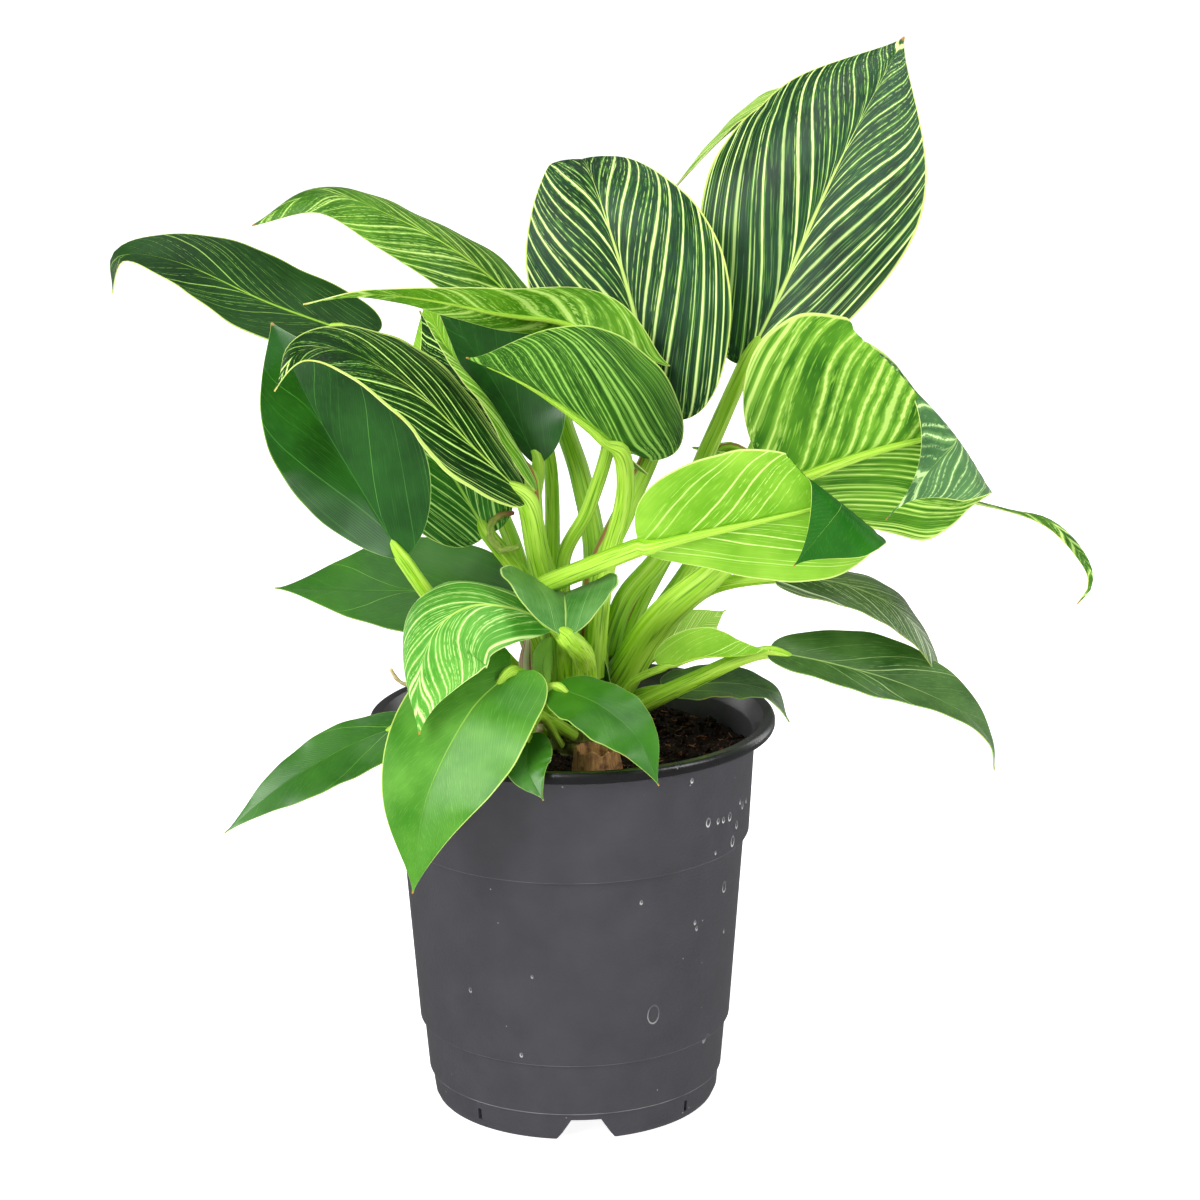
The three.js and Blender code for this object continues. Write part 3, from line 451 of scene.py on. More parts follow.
CRUMBS = 1100
FIBRES = 130
for crumb in range(CRUMBS):
    x, y = strewn(65)
    size = chances.uniform(0.5, 1.3) + 1.6 * chances.random() ** 8
    lump = bmesh.ops.create_icosphere(soil, subdivisions=1, radius=size / 1000)["verts"]
    for corner in lump:
        corner.co *= chances.uniform(0.7, 1.3)
    bmesh.ops.translate(soil, vec=at(x, y, soil_height(x, y) + size * 0.3), verts=lump)
for fibre in range(FIBRES):
    x, y = strewn(62)
    heading = chances.uniform(0, 2 * math.pi)
    path = []
    for k in range(4):
        reach = k * chances.uniform(1.0, 2.6)
        lift = soil_height(x, y) + chances.uniform(0.4, 1.6)
        path.append(Vector((x + reach * math.cos(heading), y + reach * math.sin(heading), lift)))
        heading += chances.uniform(-0.5, 0.5)
    tube(soil, path, [0.16, 0.24, 0.12], 4, 6, material=1)

peat = Finish("peat_crumbs", roughness=0.9, specular=0.2)
spot = peat.place()
broad = peat.noise(spot, 260, 4, 0.7)
fine = peat.noise(spot, 1500, 3, 0.6)
fleck = peat.noise(spot, 700, 2, 0.5)
shade = peat.mix(broad.over(0.35, 0.65), rgb(10, 6, 4), rgb(38, 24, 16))
shade = peat.mix(fleck.over(0.6, 0.68) * 0.8, shade, rgb(120, 72, 36))
peat.wear(shade, 0.75 + broad * 0.2, fine + broad * 2, 0.0006)
coir = Finish("coir_fibres", roughness=0.8)
spot = coir.place()
strand = coir.noise(spot, 800, 3)
coir.wear(coir.mix(strand, rgb(92, 56, 30), rgb(166, 116, 66)), 0.7 + strand * 0.2)
settle(soil, "potting_soil", [peat, coir], "soil", sharp=60)

# ---- The stems -------------------------------------------------------------------------------
# Three short fleshy shoots stand in the soil. The main one is swollen at its foot, olive
# with brown leaf scars round it, and the leaf stalks grow out of them all the way up.
STEMS = {
    "stem_main": ([(1, 0, 124), (1, 0, 140), (4, 0, 168)], (8.2, 9.6, 6.2), 3),
    "stem_right": ([(15, 11, 124), (14, 11, 140), (12, 11, 165)], (6, 6, 4.5), 5),
    "stem_left": ([(-10, 12, 124), (-10, 12, 140), (-11.5, 12, 164)], (5, 5, 4), 8),
}
olive = Finish("stem_olive", roughness=0.55)
around, upward = olive.uv("blade")
spot = olive.place()
cloud = olive.noise(spot, 120, 4)
lengthwise = olive.noise(olive.point(around * 26, upward * 2.5, 0), 1, 4, 0.65)
ring = ((upward * 7 + cloud * 0.5).math("FRACT") - 0.5).size()
shade = olive.mix(lengthwise.over(0.3, 0.7), rgb(92, 110, 40), rgb(150, 160, 70))
shade = olive.mix(cloud.over(0.5, 0.62), shade, rgb(70, 62, 28))
shade = olive.mix((0.09 - ring).over(0, 0.05) * 0.8, shade, rgb(84, 52, 24))
olive.wear(shade, 0.45 + lengthwise * 0.2, lengthwise * 2 + cloud + ring, 0.0006)

for name, (axis, radii, seed) in STEMS.items():
    stem = bmesh.new()

    def scarred(turn, share, seed=seed):
        """How far the stem stands out round each leaf scar."""
        scar = abs((share * 7 + 0.07 * math.sin(turn + seed)) % 1 - 0.5)
        return 1 + 0.05 * math.cos(2 * turn + seed) - 0.07 * max(0, 1 - scar / 0.12)

    tube(stem, [Vector(point) for point in axis], radii, 32, 56, seed=seed, section=scarred)
    settle(stem, name.replace("stem", "shoot"), [olive], name)

# ---- The cut stump ---------------------------------------------------------------------------
# What is left in front of a shoot that was cut away: a ring of dry, papery, orange-brown
# sheath with a torn top edge, and rotted soil inside it.
STUMP_X, STUMP_Y = 9, -36
stump = bmesh.new()
turned(stump, [
    (0, 126), (8.6, 126), (9.1, 130), (9.0, 134), (8.7, 138), (8.2, 142), (7.9, 144.6),
    (7.3, 145), (6.7, 144.2), (6.2, 140), (5.6, 136), (4, 135.2), (0, 135),
], 56)
for vert in stump.verts:
    flat = (vert.co - AXIS) * 1000
    turn = math.atan2(flat.y, flat.x)
    folds = 1 + 0.06 * math.sin(3 * turn + 0.6) + 0.045 * math.sin(8 * turn + flat.z * 0.2)
    torn = 1.9 * noise.noise(Vector((math.cos(turn), math.sin(turn), 0)) * 2.3) - 0.4
    rise = torn * max(0, (flat.z - 138) / 7)  # the top 7 mm are torn
    vert.co = at(STUMP_X + flat.x * folds, STUMP_Y + flat.y * folds, flat.z + rise)
bark = Finish("papery_bark", roughness=0.8)
spot = bark.place()
fibre = bark.node("Mapping", {}, {"Vector": spot, "Scale": (900, 900, 110)})
streak = bark.noise(fibre, 1, 4, 0.7)
cloud = bark.noise(spot, 220, 3)
shade = bark.mix(streak.over(0.3, 0.72), rgb(112, 66, 28), rgb(206, 158, 96))
shade = bark.mix(cloud.over(0.55, 0.66) * 0.8, shade, rgb(70, 40, 20))
bark.wear(shade, 0.65 + streak * 0.25, streak + cloud, 0.0006)
settle(stump, "cut_stump", [bark], "stump_cut")

# ---- How a leaf is made ----------------------------------------------------------------------
# Each leaf is one piece: a thin leathery blade with a raised rib underneath, and the fleshy
# grooved stalk that runs on into that rib. Side veins leave the rib at a low angle and
# sweep forward to the margin, and the cream bands of this plant follow some of them.
BLADE_HALF = 0.33     # half the blade's thickness at the rib, in millimetres
MARGIN_HALF = 0.2
ROW_SPACING = 1.4     # rows of the grid stand closer towards the blade's base
LARGE_HALF = 30       # a blade with this half width gets the finer grid
FINE_GRID = (96, 48)  # rows and columns
PLAIN_GRID = (64, 32)
STALK_SIDES = 20
STALK_ROWS = 90
RIB_SHARE = 0.62      # the rib underneath starts with this share of the stalk's radius
grown = []


def vein_start(length, across, slender):
    """Where on the rib the side vein through this place of the blade begins.

    A vein runs beside the rib at first, crosses the blade straight and bends forward again
    near the margin. slender is the half width here as a share of the blade's length.
    """
    return length - slender * (1.3 * across ** 0.55 + 0.8 * across + 0.8 * across ** 4)


def outline(length, widest, full):
    """The blade's half width from base to tip, as a share of its greatest."""
    bend = math.log(0.5) / math.log(widest)
    return max(0, math.sin(math.pi * min(1, length ** bend))) ** (full[0] + full[1] * length)


def rolled_over(spot, look, start, end, toward, radius, bow, turn):
    """Turns back what lies past a line of the blade, round a roll, as a page is turned."""
    line = Vector(end) - Vector(start)
    reach = line.length
    line.normalize()
    toward = Vector(toward)
    toward = (toward - line * toward.dot(line)).normalized()
    past = line.cross(toward)
    offset = spot - Vector(start)
    share = min(1, max(0, offset.dot(line) / reach))
    far = offset.dot(past) - bow * 4 * share * (1 - share)
    high = offset.dot(toward)
    if far <= 0:
        return spot, look
    girth = radius[0] + (radius[1] - radius[0]) * share
    angle = min(far / girth, math.radians(turn))
    rest = far - girth * angle
    sine, cosine = math.sin(angle), math.cos(angle)
    spot = spot + past * ((girth - high) * sine + rest * cosine - far)
    spot = spot + toward * (girth * (1 - cosine) + rest * sine + high * cosine - high)
    lean, lift = look.dot(past), look.dot(toward)
    look = look + past * (lean * cosine - lift * sine - lean)
    return spot, look + toward * (lean * sine + lift * cosine - lift)


def blade_places(seed, rib, face, half, widest, full, lobe, fold, curl, over, ripple, fine):
    """Where each crossing of the blade's grid goes, and which way its upper side looks."""
    rows, middle = fine[0], fine[1] // 2
    shares = even_shares(rib, rows, ROW_SPACING)
    run = sum((spline(rib, b) - spline(rib, a)).length for a, b in zip(shares, shares[1:]))
    places = {}
    for row, share in enumerate(shares):
        length = (row / rows) ** ROW_SPACING
        centre = spline(rib, share)
        ahead, up = rib_way(rib, face, share)
        side = ahead.cross(up)
        places[row, middle] = (centre, up)
        for hand, sign in ((0, -1), (1, 1)):
            shape = outline(length, widest[hand], full)
            step = max(half[hand] * shape, 0.25) / middle
            start = math.radians(along(fold[hand], length))
            turn = math.radians(along(curl[hand], length))
            out = rise = 0
            for k in range(middle):
                angle = start + turn * ((k + 0.5) / middle)
                out += step * math.cos(angle)
                rise += step * math.sin(angle)
                across = (k + 1) / middle
                angle = start + turn * across
                wave = math.sin(length * 17 + seed * 2.1 + hand * 1.7)
                wave += 0.5 * math.sin(length * 41 + seed)
                back = lobe * run * across * math.sqrt(shape) * (1 - length) ** 3
                look = up * math.cos(angle) - side * sign * math.sin(angle)
                spot = centre + side * sign * out + up * rise - ahead * back
                spot += look * ripple * shape * across ** 3 * wave
                places[row, middle + sign * (k + 1)] = (spot, look)
    if over:
        places = {key: rolled_over(*place, *over) for key, place in places.items()}
    return places


def rib_way(rib, face, share):
    """The way along the rib and the way its upper side looks, at a share of its spans."""
    ahead = spline(rib, min(1, share + 0.004)) - spline(rib, max(0, share - 0.004))
    ahead.normalize()
    up = spline(face, share)
    return ahead, (up - ahead * up.dot(ahead)).normalized()


def grow_blade(mesh_work, seed, rib, face, half, widest, full, lobe, fold, curl, over,
               ripple, fine, sweep=(1, 1)):
    """A closed thin blade: a flat grid doubled to a shell, then folded and curled to shape."""
    rows, columns = fine
    run = curve_length(rib)
    vein, blade = maps(mesh_work)
    lower = bmesh.ops.create_grid(mesh_work, x_segments=columns, y_segments=rows, size=1)["verts"]
    under = list({patch for vert in lower for patch in vert.link_faces})
    for patch in under:
        patch.material_index = 1
        for corner in patch.loops:
            flat = corner.vert.co
            length = ((flat.y + 1) / 2) ** ROW_SPACING
            hand = 1 if flat.x > 0 else 0
            slender = sweep[hand] * half[hand] * outline(length, widest[hand], full) / run
            corner[blade].uv = (length, flat.x)
            corner[vein].uv = (vein_start(length, abs(flat.x), slender) + 3 * seed, flat.x)
    shell = bmesh.ops.extrude_face_region(mesh_work, geom=under, use_keep_orig=True)["geom"]
    upper = {part for part in shell if isinstance(part, bmesh.types.BMVert)}
    for patch in {patch for vert in upper for patch in vert.link_faces}:
        patch.material_index = 0 if set(patch.verts) <= upper else 2
    shape = (rib, face, half, widest, full, lobe, fold, curl, over, ripple, fine)
    places = blade_places(seed, *shape)
    for vert in [*upper, *lower]:
        row = round((vert.co.y + 1) / 2 * rows)
        column = round((vert.co.x + 1) / 2 * columns)
        spot, look = places[row, column]
        thick = BLADE_HALF + (MARGIN_HALF - BLADE_HALF) * vert.co.x ** 2
        vert.co = at(*(spot + look * (thick if vert in upper else -thick)))


def grooved(turn, share):
    """A leaf stalk's cross section: round, with a shallow groove along its upper side."""
    groove = math.exp(-(min(turn, 2 * math.pi - turn) / 0.5) ** 2)
    return 1 - 0.13 * groove + 0.05 * math.cos(2 * turn) + 0.015 * math.sin(9 * turn)


def grow_leaf(node, look, stalk_radius, stalk, rib, face, half, widest=(0.36, 0.36),
              full=(0.6, 0.75), lobe=0.12, fold=([5], [5]), curl=([0], [0]), over=None,
              ripple=0.5, sweep=(1, 1)):
    """One leaf with its stalk, from its stem to its tip.

    stalk and rib are points on the way, and face says which way the upper side looks at each
    point of the rib. half is the greatest half width of the left and the right hand of the
    blade, widest how far along it comes and full how full the outline is. lobe draws the
    base back past the stalk. fold lifts each hand off the rib and curl bends it further
    towards its margin, both in degrees and as a list from base to tip. over is a line of
    the blade past which it is rolled back, and sweep how far each hand's veins lean forward.
    """
    finishes, slot = look
    leaf = bmesh.new()
    seed = len(grown) + 1
    rib = [Vector(point) for point in rib]
    face = [Vector(way) for way in face]
    fine = FINE_GRID if max(half) >= LARGE_HALF or over else PLAIN_GRID
    shape = (rib, face, half, widest, full, lobe, fold, curl, over, ripple, fine)
    grow_blade(leaf, seed, *shape, sweep)
    keel = [Vector(point) for point in stalk] + [rib[0]]
    foot_run = curve_length(keel)
    ridges = []
    stops = 40 if over else 10  # a rib that rolls over is followed more closely
    for share in even_shares(rib, stops)[1:-1]:
        ridge = stalk_radius[1] * RIB_SHARE * (1 - (len(ridges) + 1) / stops) ** 1.2
        ridges.append(max(0.25, ridge))
        spot, up = spline(rib, share), rib_way(rib, face, share)[1]
        if over:
            spot, up = rolled_over(spot, up, *over)
        keel.append(spot - up * ridge)
    joint = foot_run / curve_length(keel)
    radii = []
    for k in range(STALK_ROWS + 1):
        past = (k / STALK_ROWS - joint) / (1 - joint)
        if past < 0:
            radii.append(along(stalk_radius, k / STALK_ROWS / joint))
        else:  # the stalk thins to the rib within the blade's first fifth
            radii.append(max(stalk_radius[1] * (1 - past * 5), along(ridges, past)))
    tube(leaf, keel, radii, STALK_SIDES, STALK_ROWS, material=3, seed=seed, section=grooved,
         facing=face[0])
    name = node.replace("leaf", "grown")
    grown.append(settle(leaf, name, finishes, node, sharp=60))


def bands(finish, start, across, count, width, keep, waver, seed):
    """Lines that follow side veins, each with its own place, width and strength."""
    bend = finish.noise(finish.point(start * 4, across * 1.6, seed), 1, 2) - 0.5
    place = start * count + bend * (waver * count)
    cell = place.math("FLOOR")
    shift = finish.chance(cell + seed) - 0.5
    thick = finish.chance(cell * 1.7 + (seed + 0.31))
    strong = finish.chance(cell * 0.73 + (seed + 5.7)).over(1 - keep, 1.2 - keep)
    away = (place.math("FRACT") - 0.5 - shift * 0.55).size()
    feather = finish.noise(finish.point(start * count * 3, across * 18, seed), 1, 2) - 0.5
    edge = width * (0.3 + thick * thick * 1.2) + feather * width * 1.2
    halo = ((edge + width - away) / (width * 0.9)).held() * strong
    core = ((edge - away) / (width * 0.35)).held() * strong
    return halo, core


def leaf_face(name, *colours, count=15, keep=0.85, width=0.11, fine_keep=0.7, dashes=0.5,
              rib_width=0.045, margin_from=0.975, roughness=0.42, specular=0.2, coat=0.0,
              waver=0.04):
    """One side of a blade: its green, the bands along its veins, its rib and its margin.

    The six colours are the deep green, the lighter one that clouds it, the halo beside a
    band, the band, the rib and the margin. count is how many bands there are from base
    to tip, keep the share of them that shows, and dashes how strong the fine lines are.
    """
    deep, shade, halo, cream, rib, margin = [rgb(*colour) for colour in colours]
    finish = Finish(name, roughness, coat, specular)
    start, across = finish.uv("vein")
    length, across = finish.uv("blade")
    spot = finish.place()
    cloud = finish.noise(spot, 42, 3)
    grain = finish.noise(spot, 1300, 2)
    colour = finish.mix(cloud.over(0.32, 0.68), deep, shade)
    thread = finish.noise(finish.point(start * 110, across * 8, 2), 1, 2, 0.5)
    colour = finish.mix(thread.over(0.55, 0.68) * dashes, colour, halo)
    if fine_keep:
        soft, core = bands(finish, start, across, count * 2.9, width * 1.2, fine_keep, waver, 31)
        broken = finish.noise(finish.point(start * 70, across * 14, 9), 1, 2).over(0.42, 0.55)
        colour = finish.mix(soft * broken * 0.7, colour, halo)
        colour = finish.mix(core * broken * 0.6, colour, cream)
    if keep:
        soft, core = bands(finish, start, across, count, width, keep, waver, 3)
        colour = finish.mix(soft * 0.7, colour, halo)
        colour = finish.mix(core, colour, cream)
    edge = rib_width * (1 - length * 1.4).held() + 0.004
    line = ((edge - across.size()) / (edge * 0.6)).held()
    colour = finish.mix(line, colour, rib)
    colour = finish.mix(across.size().over(margin_from, margin_from + 0.012), colour, margin)
    colour = finish.mix(length.over(0.985, 0.997), colour, rgb(196, 128, 58))
    furrow = ((start * (count * 3)).math("FRACT") - 0.5).size()
    height = (furrow - 0.5) ** 2 * -1.2 + grain * 0.25 + cloud - line * 0.6
    return finish.wear(colour, roughness - 0.05 + cloud * 0.1 + grain * 0.05, height, 0.00012)


def leaf_margin(name, pale, dry):
    """The thin pale rim of a blade, dry and yellowish in places."""
    pale, dry = rgb(*pale), rgb(*dry)
    finish = Finish(name, 0.5)
    cloud = finish.noise(finish.place(), 90, 3)
    return finish.wear(finish.mix(cloud.over(0.52, 0.7), pale, dry), 0.45 + cloud * 0.1)


def leaf_stalk(name, lime, pale, dark, dried=0.0):
    """A fleshy stalk: fine pale and green lines along it, and a dried sheath edge on some."""
    lime, pale, dark = rgb(*lime), rgb(*pale), rgb(*dark)
    finish = Finish(name, 0.4, specular=0.35)
    around, upward = finish.uv("vein")
    turn, upward = finish.uv("blade")
    cloud = finish.noise(finish.place(), 60, 3)
    streak = finish.noise(finish.point(around * 14, upward * 3, 0), 1, 4, 0.7)
    thread = finish.noise(finish.point(around * 42, upward * 9, 4), 1, 2, 0.5)
    colour = finish.mix(streak.over(0.38, 0.62), lime, pale)
    colour = finish.mix(thread.over(0.54, 0.66) * 0.75, colour, dark)
    if dried:
        ragged = finish.noise(finish.point(around * 6, upward * 26, 8), 1, 3, 0.6) - 0.5
        seam = (0.045 + ragged * 0.07 - (turn - 0.12).size()).over(0, 0.02)
        seam = seam * (dried - upward).over(0, 0.12)
        colour = finish.mix(seam, colour, finish.mix(streak, rgb(122, 62, 30), rgb(196, 142, 88)))
    return finish.wear(colour, 0.34 + cloud * 0.12, streak + thread * 0.5, 0.0003)


# ---- Leaves of the crown ---------------------------------------------------------------------
# The youngest full-grown leaves stand highest: dark leathery green with cream bands, pale
# yellow-green underneath, on long lime stalks. Two stand upright, one hangs behind them,
# and two arch far out to the left with fewer, greener bands.
lime_stalk = leaf_stalk("stalk_lime", (146, 206, 26), (198, 234, 92), (72, 136, 10))
dried_stalk = leaf_stalk("stalk_dried", (136, 196, 24), (190, 228, 88), (68, 128, 10), 0.9)
cream_margin = leaf_margin("margin_cream", (206, 226, 132), (206, 190, 96))
under_pale = leaf_face(
    "under_pale", (56, 120, 6), (100, 162, 28), (144, 200, 62), (196, 234, 120), (176, 222, 72),
    (206, 232, 122), width=0.2, dashes=0.7, roughness=0.5,
)
# A darker copy of the pale underside for the cupped leaf, whose underside lies in shadow: painted
# shade.
under_shaded = leaf_face(
    "under_shaded", (22, 72, 4), (52, 108, 16), (84, 142, 34), (142, 192, 80), (140, 196, 52),
    (180, 216, 100), width=0.2, dashes=0.7, roughness=0.5,
)
under_light = leaf_face(
    "under_light", (92, 158, 20), (160, 214, 72), (190, 228, 102), (234, 250, 168), (206, 240, 120),
    (216, 238, 130), width=0.13, dashes=0.6, roughness=0.5,
)
striped_upper = leaf_face(
    "striped_upper", (10, 44, 18), (38, 76, 48), (96, 162, 50), (230, 248, 160), (204, 236, 120),
    (210, 232, 120), count=10, keep=0.95, width=0.08, dashes=0.5,
)
striped_deep = leaf_face(
    "striped_deep", (2, 32, 0), (14, 60, 8), (62, 136, 26), (208, 244, 132), (186, 228, 90),
    (200, 230, 112), count=12, keep=0.9, width=0.1, dashes=0.35, margin_from=0.93,
)
striped_green = leaf_face(
    "striped_green", (14, 74, 2), (52, 122, 32), (96, 164, 56), (184, 226, 124), (160, 210, 80),
    (190, 220, 108), count=11,
)


def banded_leaf(upper, stalk=lime_stalk):
    """A banded leaf's finishes, in the order upper side, underside, margin, stalk; its slot."""
    return [upper, under_pale, cream_margin, stalk], "leaf_striped"


striped = banded_leaf(striped_upper)
striped_dried = banded_leaf(striped_upper, dried_stalk)
deep_striped = banded_leaf(striped_deep, dried_stalk)
green_striped = banded_leaf(striped_green)
pale_backed = ([under_light, striped_upper, cream_margin, lime_stalk], "leaf_striped")
bright_upper = leaf_face(
    "bright_upper", (30, 84, 4), (84, 138, 36), (134, 186, 66), (208, 236, 134), (176, 220, 78),
    (190, 220, 104), width=0.13,
)
bright = banded_leaf(bright_upper, dried_stalk)
sparse_upper = leaf_face(
    "sparse_upper", (14, 50, 10), (34, 74, 26), (70, 122, 42), (160, 202, 92), (150, 196, 66),
    (170, 200, 96), keep=0.35, width=0.07, fine_keep=0.35, dashes=0.3,
)
sparse = banded_leaf(sparse_upper)

grow_leaf(
    "leaf_crown_right", striped, stalk_radius=(4.5, 3.2),
    stalk=[(12, 10, 165), (20, 14, 187), (35, 20, 205), (51, 26, 241)],
    rib=[(65.5, 32, 272.5), (80, 42, 299.5), (92, 46, 326.5), (106, 50, 355.5), (124, 55, 389)],
    face=[
        (-0.15, -0.95, 0.2), (-0.15, -0.95, 0.25), (-0.1, -0.95, 0.3), (-0.1, -0.95, 0.3),
        (-0.1, -0.95, 0.3),
    ],
    half=(46, 37), widest=(0.54, 0.52), full=(0.5, 0.75), lobe=0.08, fold=[[8], [12]],
    curl=[[-5, -15, -60, -30], [-10, -15, 0]],
)
grow_leaf(
    "leaf_crown_back", pale_backed, stalk_radius=(3, 2.2),
    stalk=[(13, 14, 164), (35, 30, 182), (64, 50, 224), (87, 70, 278)],
    rib=[(107, 88, 343.5), (88, 90, 363.5), (63.5, 90, 353), (37.5, 84, 327.5)],
    face=[(-0.3, -0.2, 0.95), (-0.45, 0, 0.9), (-0.75, 0, 0.65), (-0.85, 0, 0.5)],
    half=(20, 20),
)
grow_leaf(
    "leaf_upper_middle", striped_dried, stalk_radius=(5.5, 3.2),
    stalk=[(8, 2, 162), (9, 4, 197), (20, 6, 223), (30, 8, 245)],
    rib=[(32, 10, 259), (23.5, 18, 294.5), (14.5, 26, 324.5), (6, 42, 345.5), (1.5, 64, 337.5)],
    face=[(-0.1, -1, 0.1), (-0.1, -1, 0.2), (-0.1, -0.95, 0.35), (0, -0.45, 0.9), (0, 0.6, 0.8)],
    half=(35, 37), widest=(0.45, 0.4), full=(0.6, 0.9), fold=[[10], [10]], curl=[[-25], [-25]],
)
grow_leaf(
    "leaf_upper_left_arched", bright, stalk_radius=(5, 3),
    stalk=[(5, 6, 165), (9, 18, 201), (4, 26, 230), (-3, 34, 251)],
    rib=[(-13, 45, 287), (-36.5, 42, 309), (-62, 38, 325), (-90.5, 34, 335.5), (-115.5, 30, 324.5)],
    face=[
        (-0.2, -0.4, 0.9), (-0.3, -0.4, 0.85), (-0.2, -0.4, 0.9), (0, -0.4, 0.9), (-0.6, -0.4, 0.7),
    ],
    half=(17, 17), full=(0.6, 0.35), fold=[[-5], [0]], curl=[[-40], [-30]],
)
grow_leaf(
    "leaf_far_left", sparse, stalk_radius=(3.4, 2.6),
    stalk=[(-14, 11, 156), (-18, 14, 196), (-30, 16, 228), (-51, 16, 262)],
    rib=[(-79, 15, 287), (-109, 12, 299), (-139, 8, 314), (-159.5, 4, 317.5), (-163.5, 2, 304.5)],
    face=[
        (-0.2, -0.5, 0.85), (-0.2, -0.5, 0.85), (-0.2, -0.5, 0.85), (-0.5, -0.4, 0.8),
        (-0.9, -0.3, 0.3),
    ],
    half=(19, 22), full=(0.6, 0.5), lobe=0.2,
)

# ---- Leaves of the middle --------------------------------------------------------------------
# Two older leaves reach forward and left with their undersides up, so their bands show pale
# green on green. Behind them stand one dark plain leaf, a small one that shows its pale
# back, and a narrow banded one with a rolled margin.
under_plain = leaf_face(
    "under_plain", (62, 124, 26), (84, 144, 38), (110, 168, 54), (150, 196, 90), (160, 204, 84),
    (190, 212, 110), keep=0.4, width=0.06, roughness=0.5,
)
plain_margin = leaf_margin("margin_plain", (146, 192, 84), (190, 176, 88))


def plain_leaf(name, *colours, **habit):
    """A plain leaf's finishes and slot: they share all but the upper side."""
    upper = leaf_face(name, *colours, **habit)
    return [upper, under_plain, plain_margin, lime_stalk], "leaf_plain"


plain_dark = plain_leaf(
    "plain_dark_upper", (6, 60, 0), (30, 96, 16), (58, 128, 36), (84, 150, 52), (54, 122, 28),
    (140, 182, 78), keep=0.3, width=0.03, fine_keep=0.2, dashes=0.25, rib_width=0.015,
    margin_from=0.983, roughness=0.3, specular=0.4, coat=0.7,
)
lime_under = leaf_face(
    "lime_under", (104, 166, 20), (144, 198, 54), (164, 212, 78), (208, 238, 140), (196, 236, 72),
    (204, 228, 124), count=12, keep=0.65, width=0.05, fine_keep=0.3, dashes=0.4, roughness=0.48,
)
lime = ([
    leaf_face("lime_upper", (14, 84, 2), (36, 108, 12), (60, 132, 26), (120, 180, 70),
              (150, 200, 70), (190, 218, 100), keep=0, fine_keep=0, dashes=0.25),
    lime_under, cream_margin, lime_stalk,
], "leaf_lime")
small_pale = ([under_light, lime_under, cream_margin, lime_stalk], "leaf_lime")
cupped = ([striped_upper, under_shaded, cream_margin, lime_stalk], "leaf_striped")
# The rolled flap's upper side is a paler grey green than the other banded leaves: partly a painted
# sheen of glancing light over its green.
rolled_back = ([
    leaf_face("rolled_upper_sheen", (48, 92, 46), (84, 128, 76), (112, 158, 88), (200, 232, 156),
              (176, 218, 100), (206, 232, 122), count=7, keep=0.9, width=0.11, dashes=0.3),
    leaf_face("rolled_under", (40, 104, 2), (90, 154, 26), (134, 190, 54), (200, 234, 118),
              (188, 228, 92), (206, 232, 122), count=17, keep=0.95, width=0.28, fine_keep=0.4,
              dashes=0.9, roughness=0.5, waver=0.07),
    cream_margin, lime_stalk,
], "leaf_striped")

grow_leaf(
    "leaf_middle_reaching_left", striped, stalk_radius=(3, 2.4),
    stalk=[(1, 1, 168), (-3, -2, 204), (7, -2, 226), (15, -5, 255)],
    rib=[
        (13.5, -8, 286.5), (-1, -12, 295.5), (-24, -18, 300), (-48.5, -24, 306), (-72.5, -30, 309),
        (-92, -34, 306),
    ],
    face=[
        (0.2, 0.9, 0.35), (0, 0.75, 0.65), (0, 0.45, 0.9), (0, 0.35, 0.95), (0, 0.3, 0.95),
        (-0.3, 0.1, 0.95),
    ],
    half=(12, 8), widest=(0.2, 0.3), lobe=0.33, fold=[[80, 65, 35, 20, 5], [-35, -35, -25]],
)
grow_leaf(
    "leaf_middle_cupped", cupped, stalk_radius=(4, 3.2),
    stalk=[(8, -4, 161), (12, -8, 200), (19, -12, 227), (20, -16, 241)],
    rib=[(18, -20, 250.5), (6, -28, 262.5), (-13.5, -38, 277.5), (-35, -46, 289)],
    face=[(0.1, 0.2, 1), (0.1, 0.2, 1), (0, 0.2, 1), (0, 0.2, 1)],
    half=(34, 20), lobe=0.55, fold=[[60], [20]], curl=[[50], [0]],
)
grow_leaf(
    "leaf_middle_dark", plain_dark, stalk_radius=(3.4, 2.6),
    stalk=[(-3, 1, 162), (-9, 2, 186), (-14, 3, 216)],
    rib=[(-11.5, 5, 240), (-22.5, 10, 261), (-36, 12, 283), (-50, 12, 301)],
    face=[(0, -0.9, 0.4)] * 4,
    half=(8, 24), widest=(0.5, 0.43), lobe=0, fold=[[10], [15]],
)
grow_leaf(
    "leaf_middle_pale_back", lime, stalk_radius=(3.6, 2.2),
    stalk=[(-9, 14, 163), (-7, 18, 201), (-8, 26, 239), (-17, 28, 249)],
    rib=[(-31.5, 30, 257.5), (-42.5, 34, 273), (-49.5, 36, 286.5), (-53.5, 36, 296.5)],
    face=[(-0.2, 0.95, 0.3)] * 4,
    half=(17, 18),
)
grow_leaf(
    "leaf_middle_striped_inner", deep_striped, stalk_radius=(3.4, 3),
    stalk=[(-4, -4, 158), (-9, -8, 192), (-12, -12, 216)],
    rib=[(-13.5, -12, 238), (-26.5, -8, 259.5), (-41, -2, 278.5), (-53.5, 2, 297.5)],
    face=[(-0.5, -0.6, 0.6), (-0.5, -0.6, 0.6), (-0.55, -0.55, 0.65), (-0.55, -0.55, 0.65)],
    half=(22, 15), widest=(0.45, 0.36), fold=[[0], [40]], curl=[[0], [90]],
)

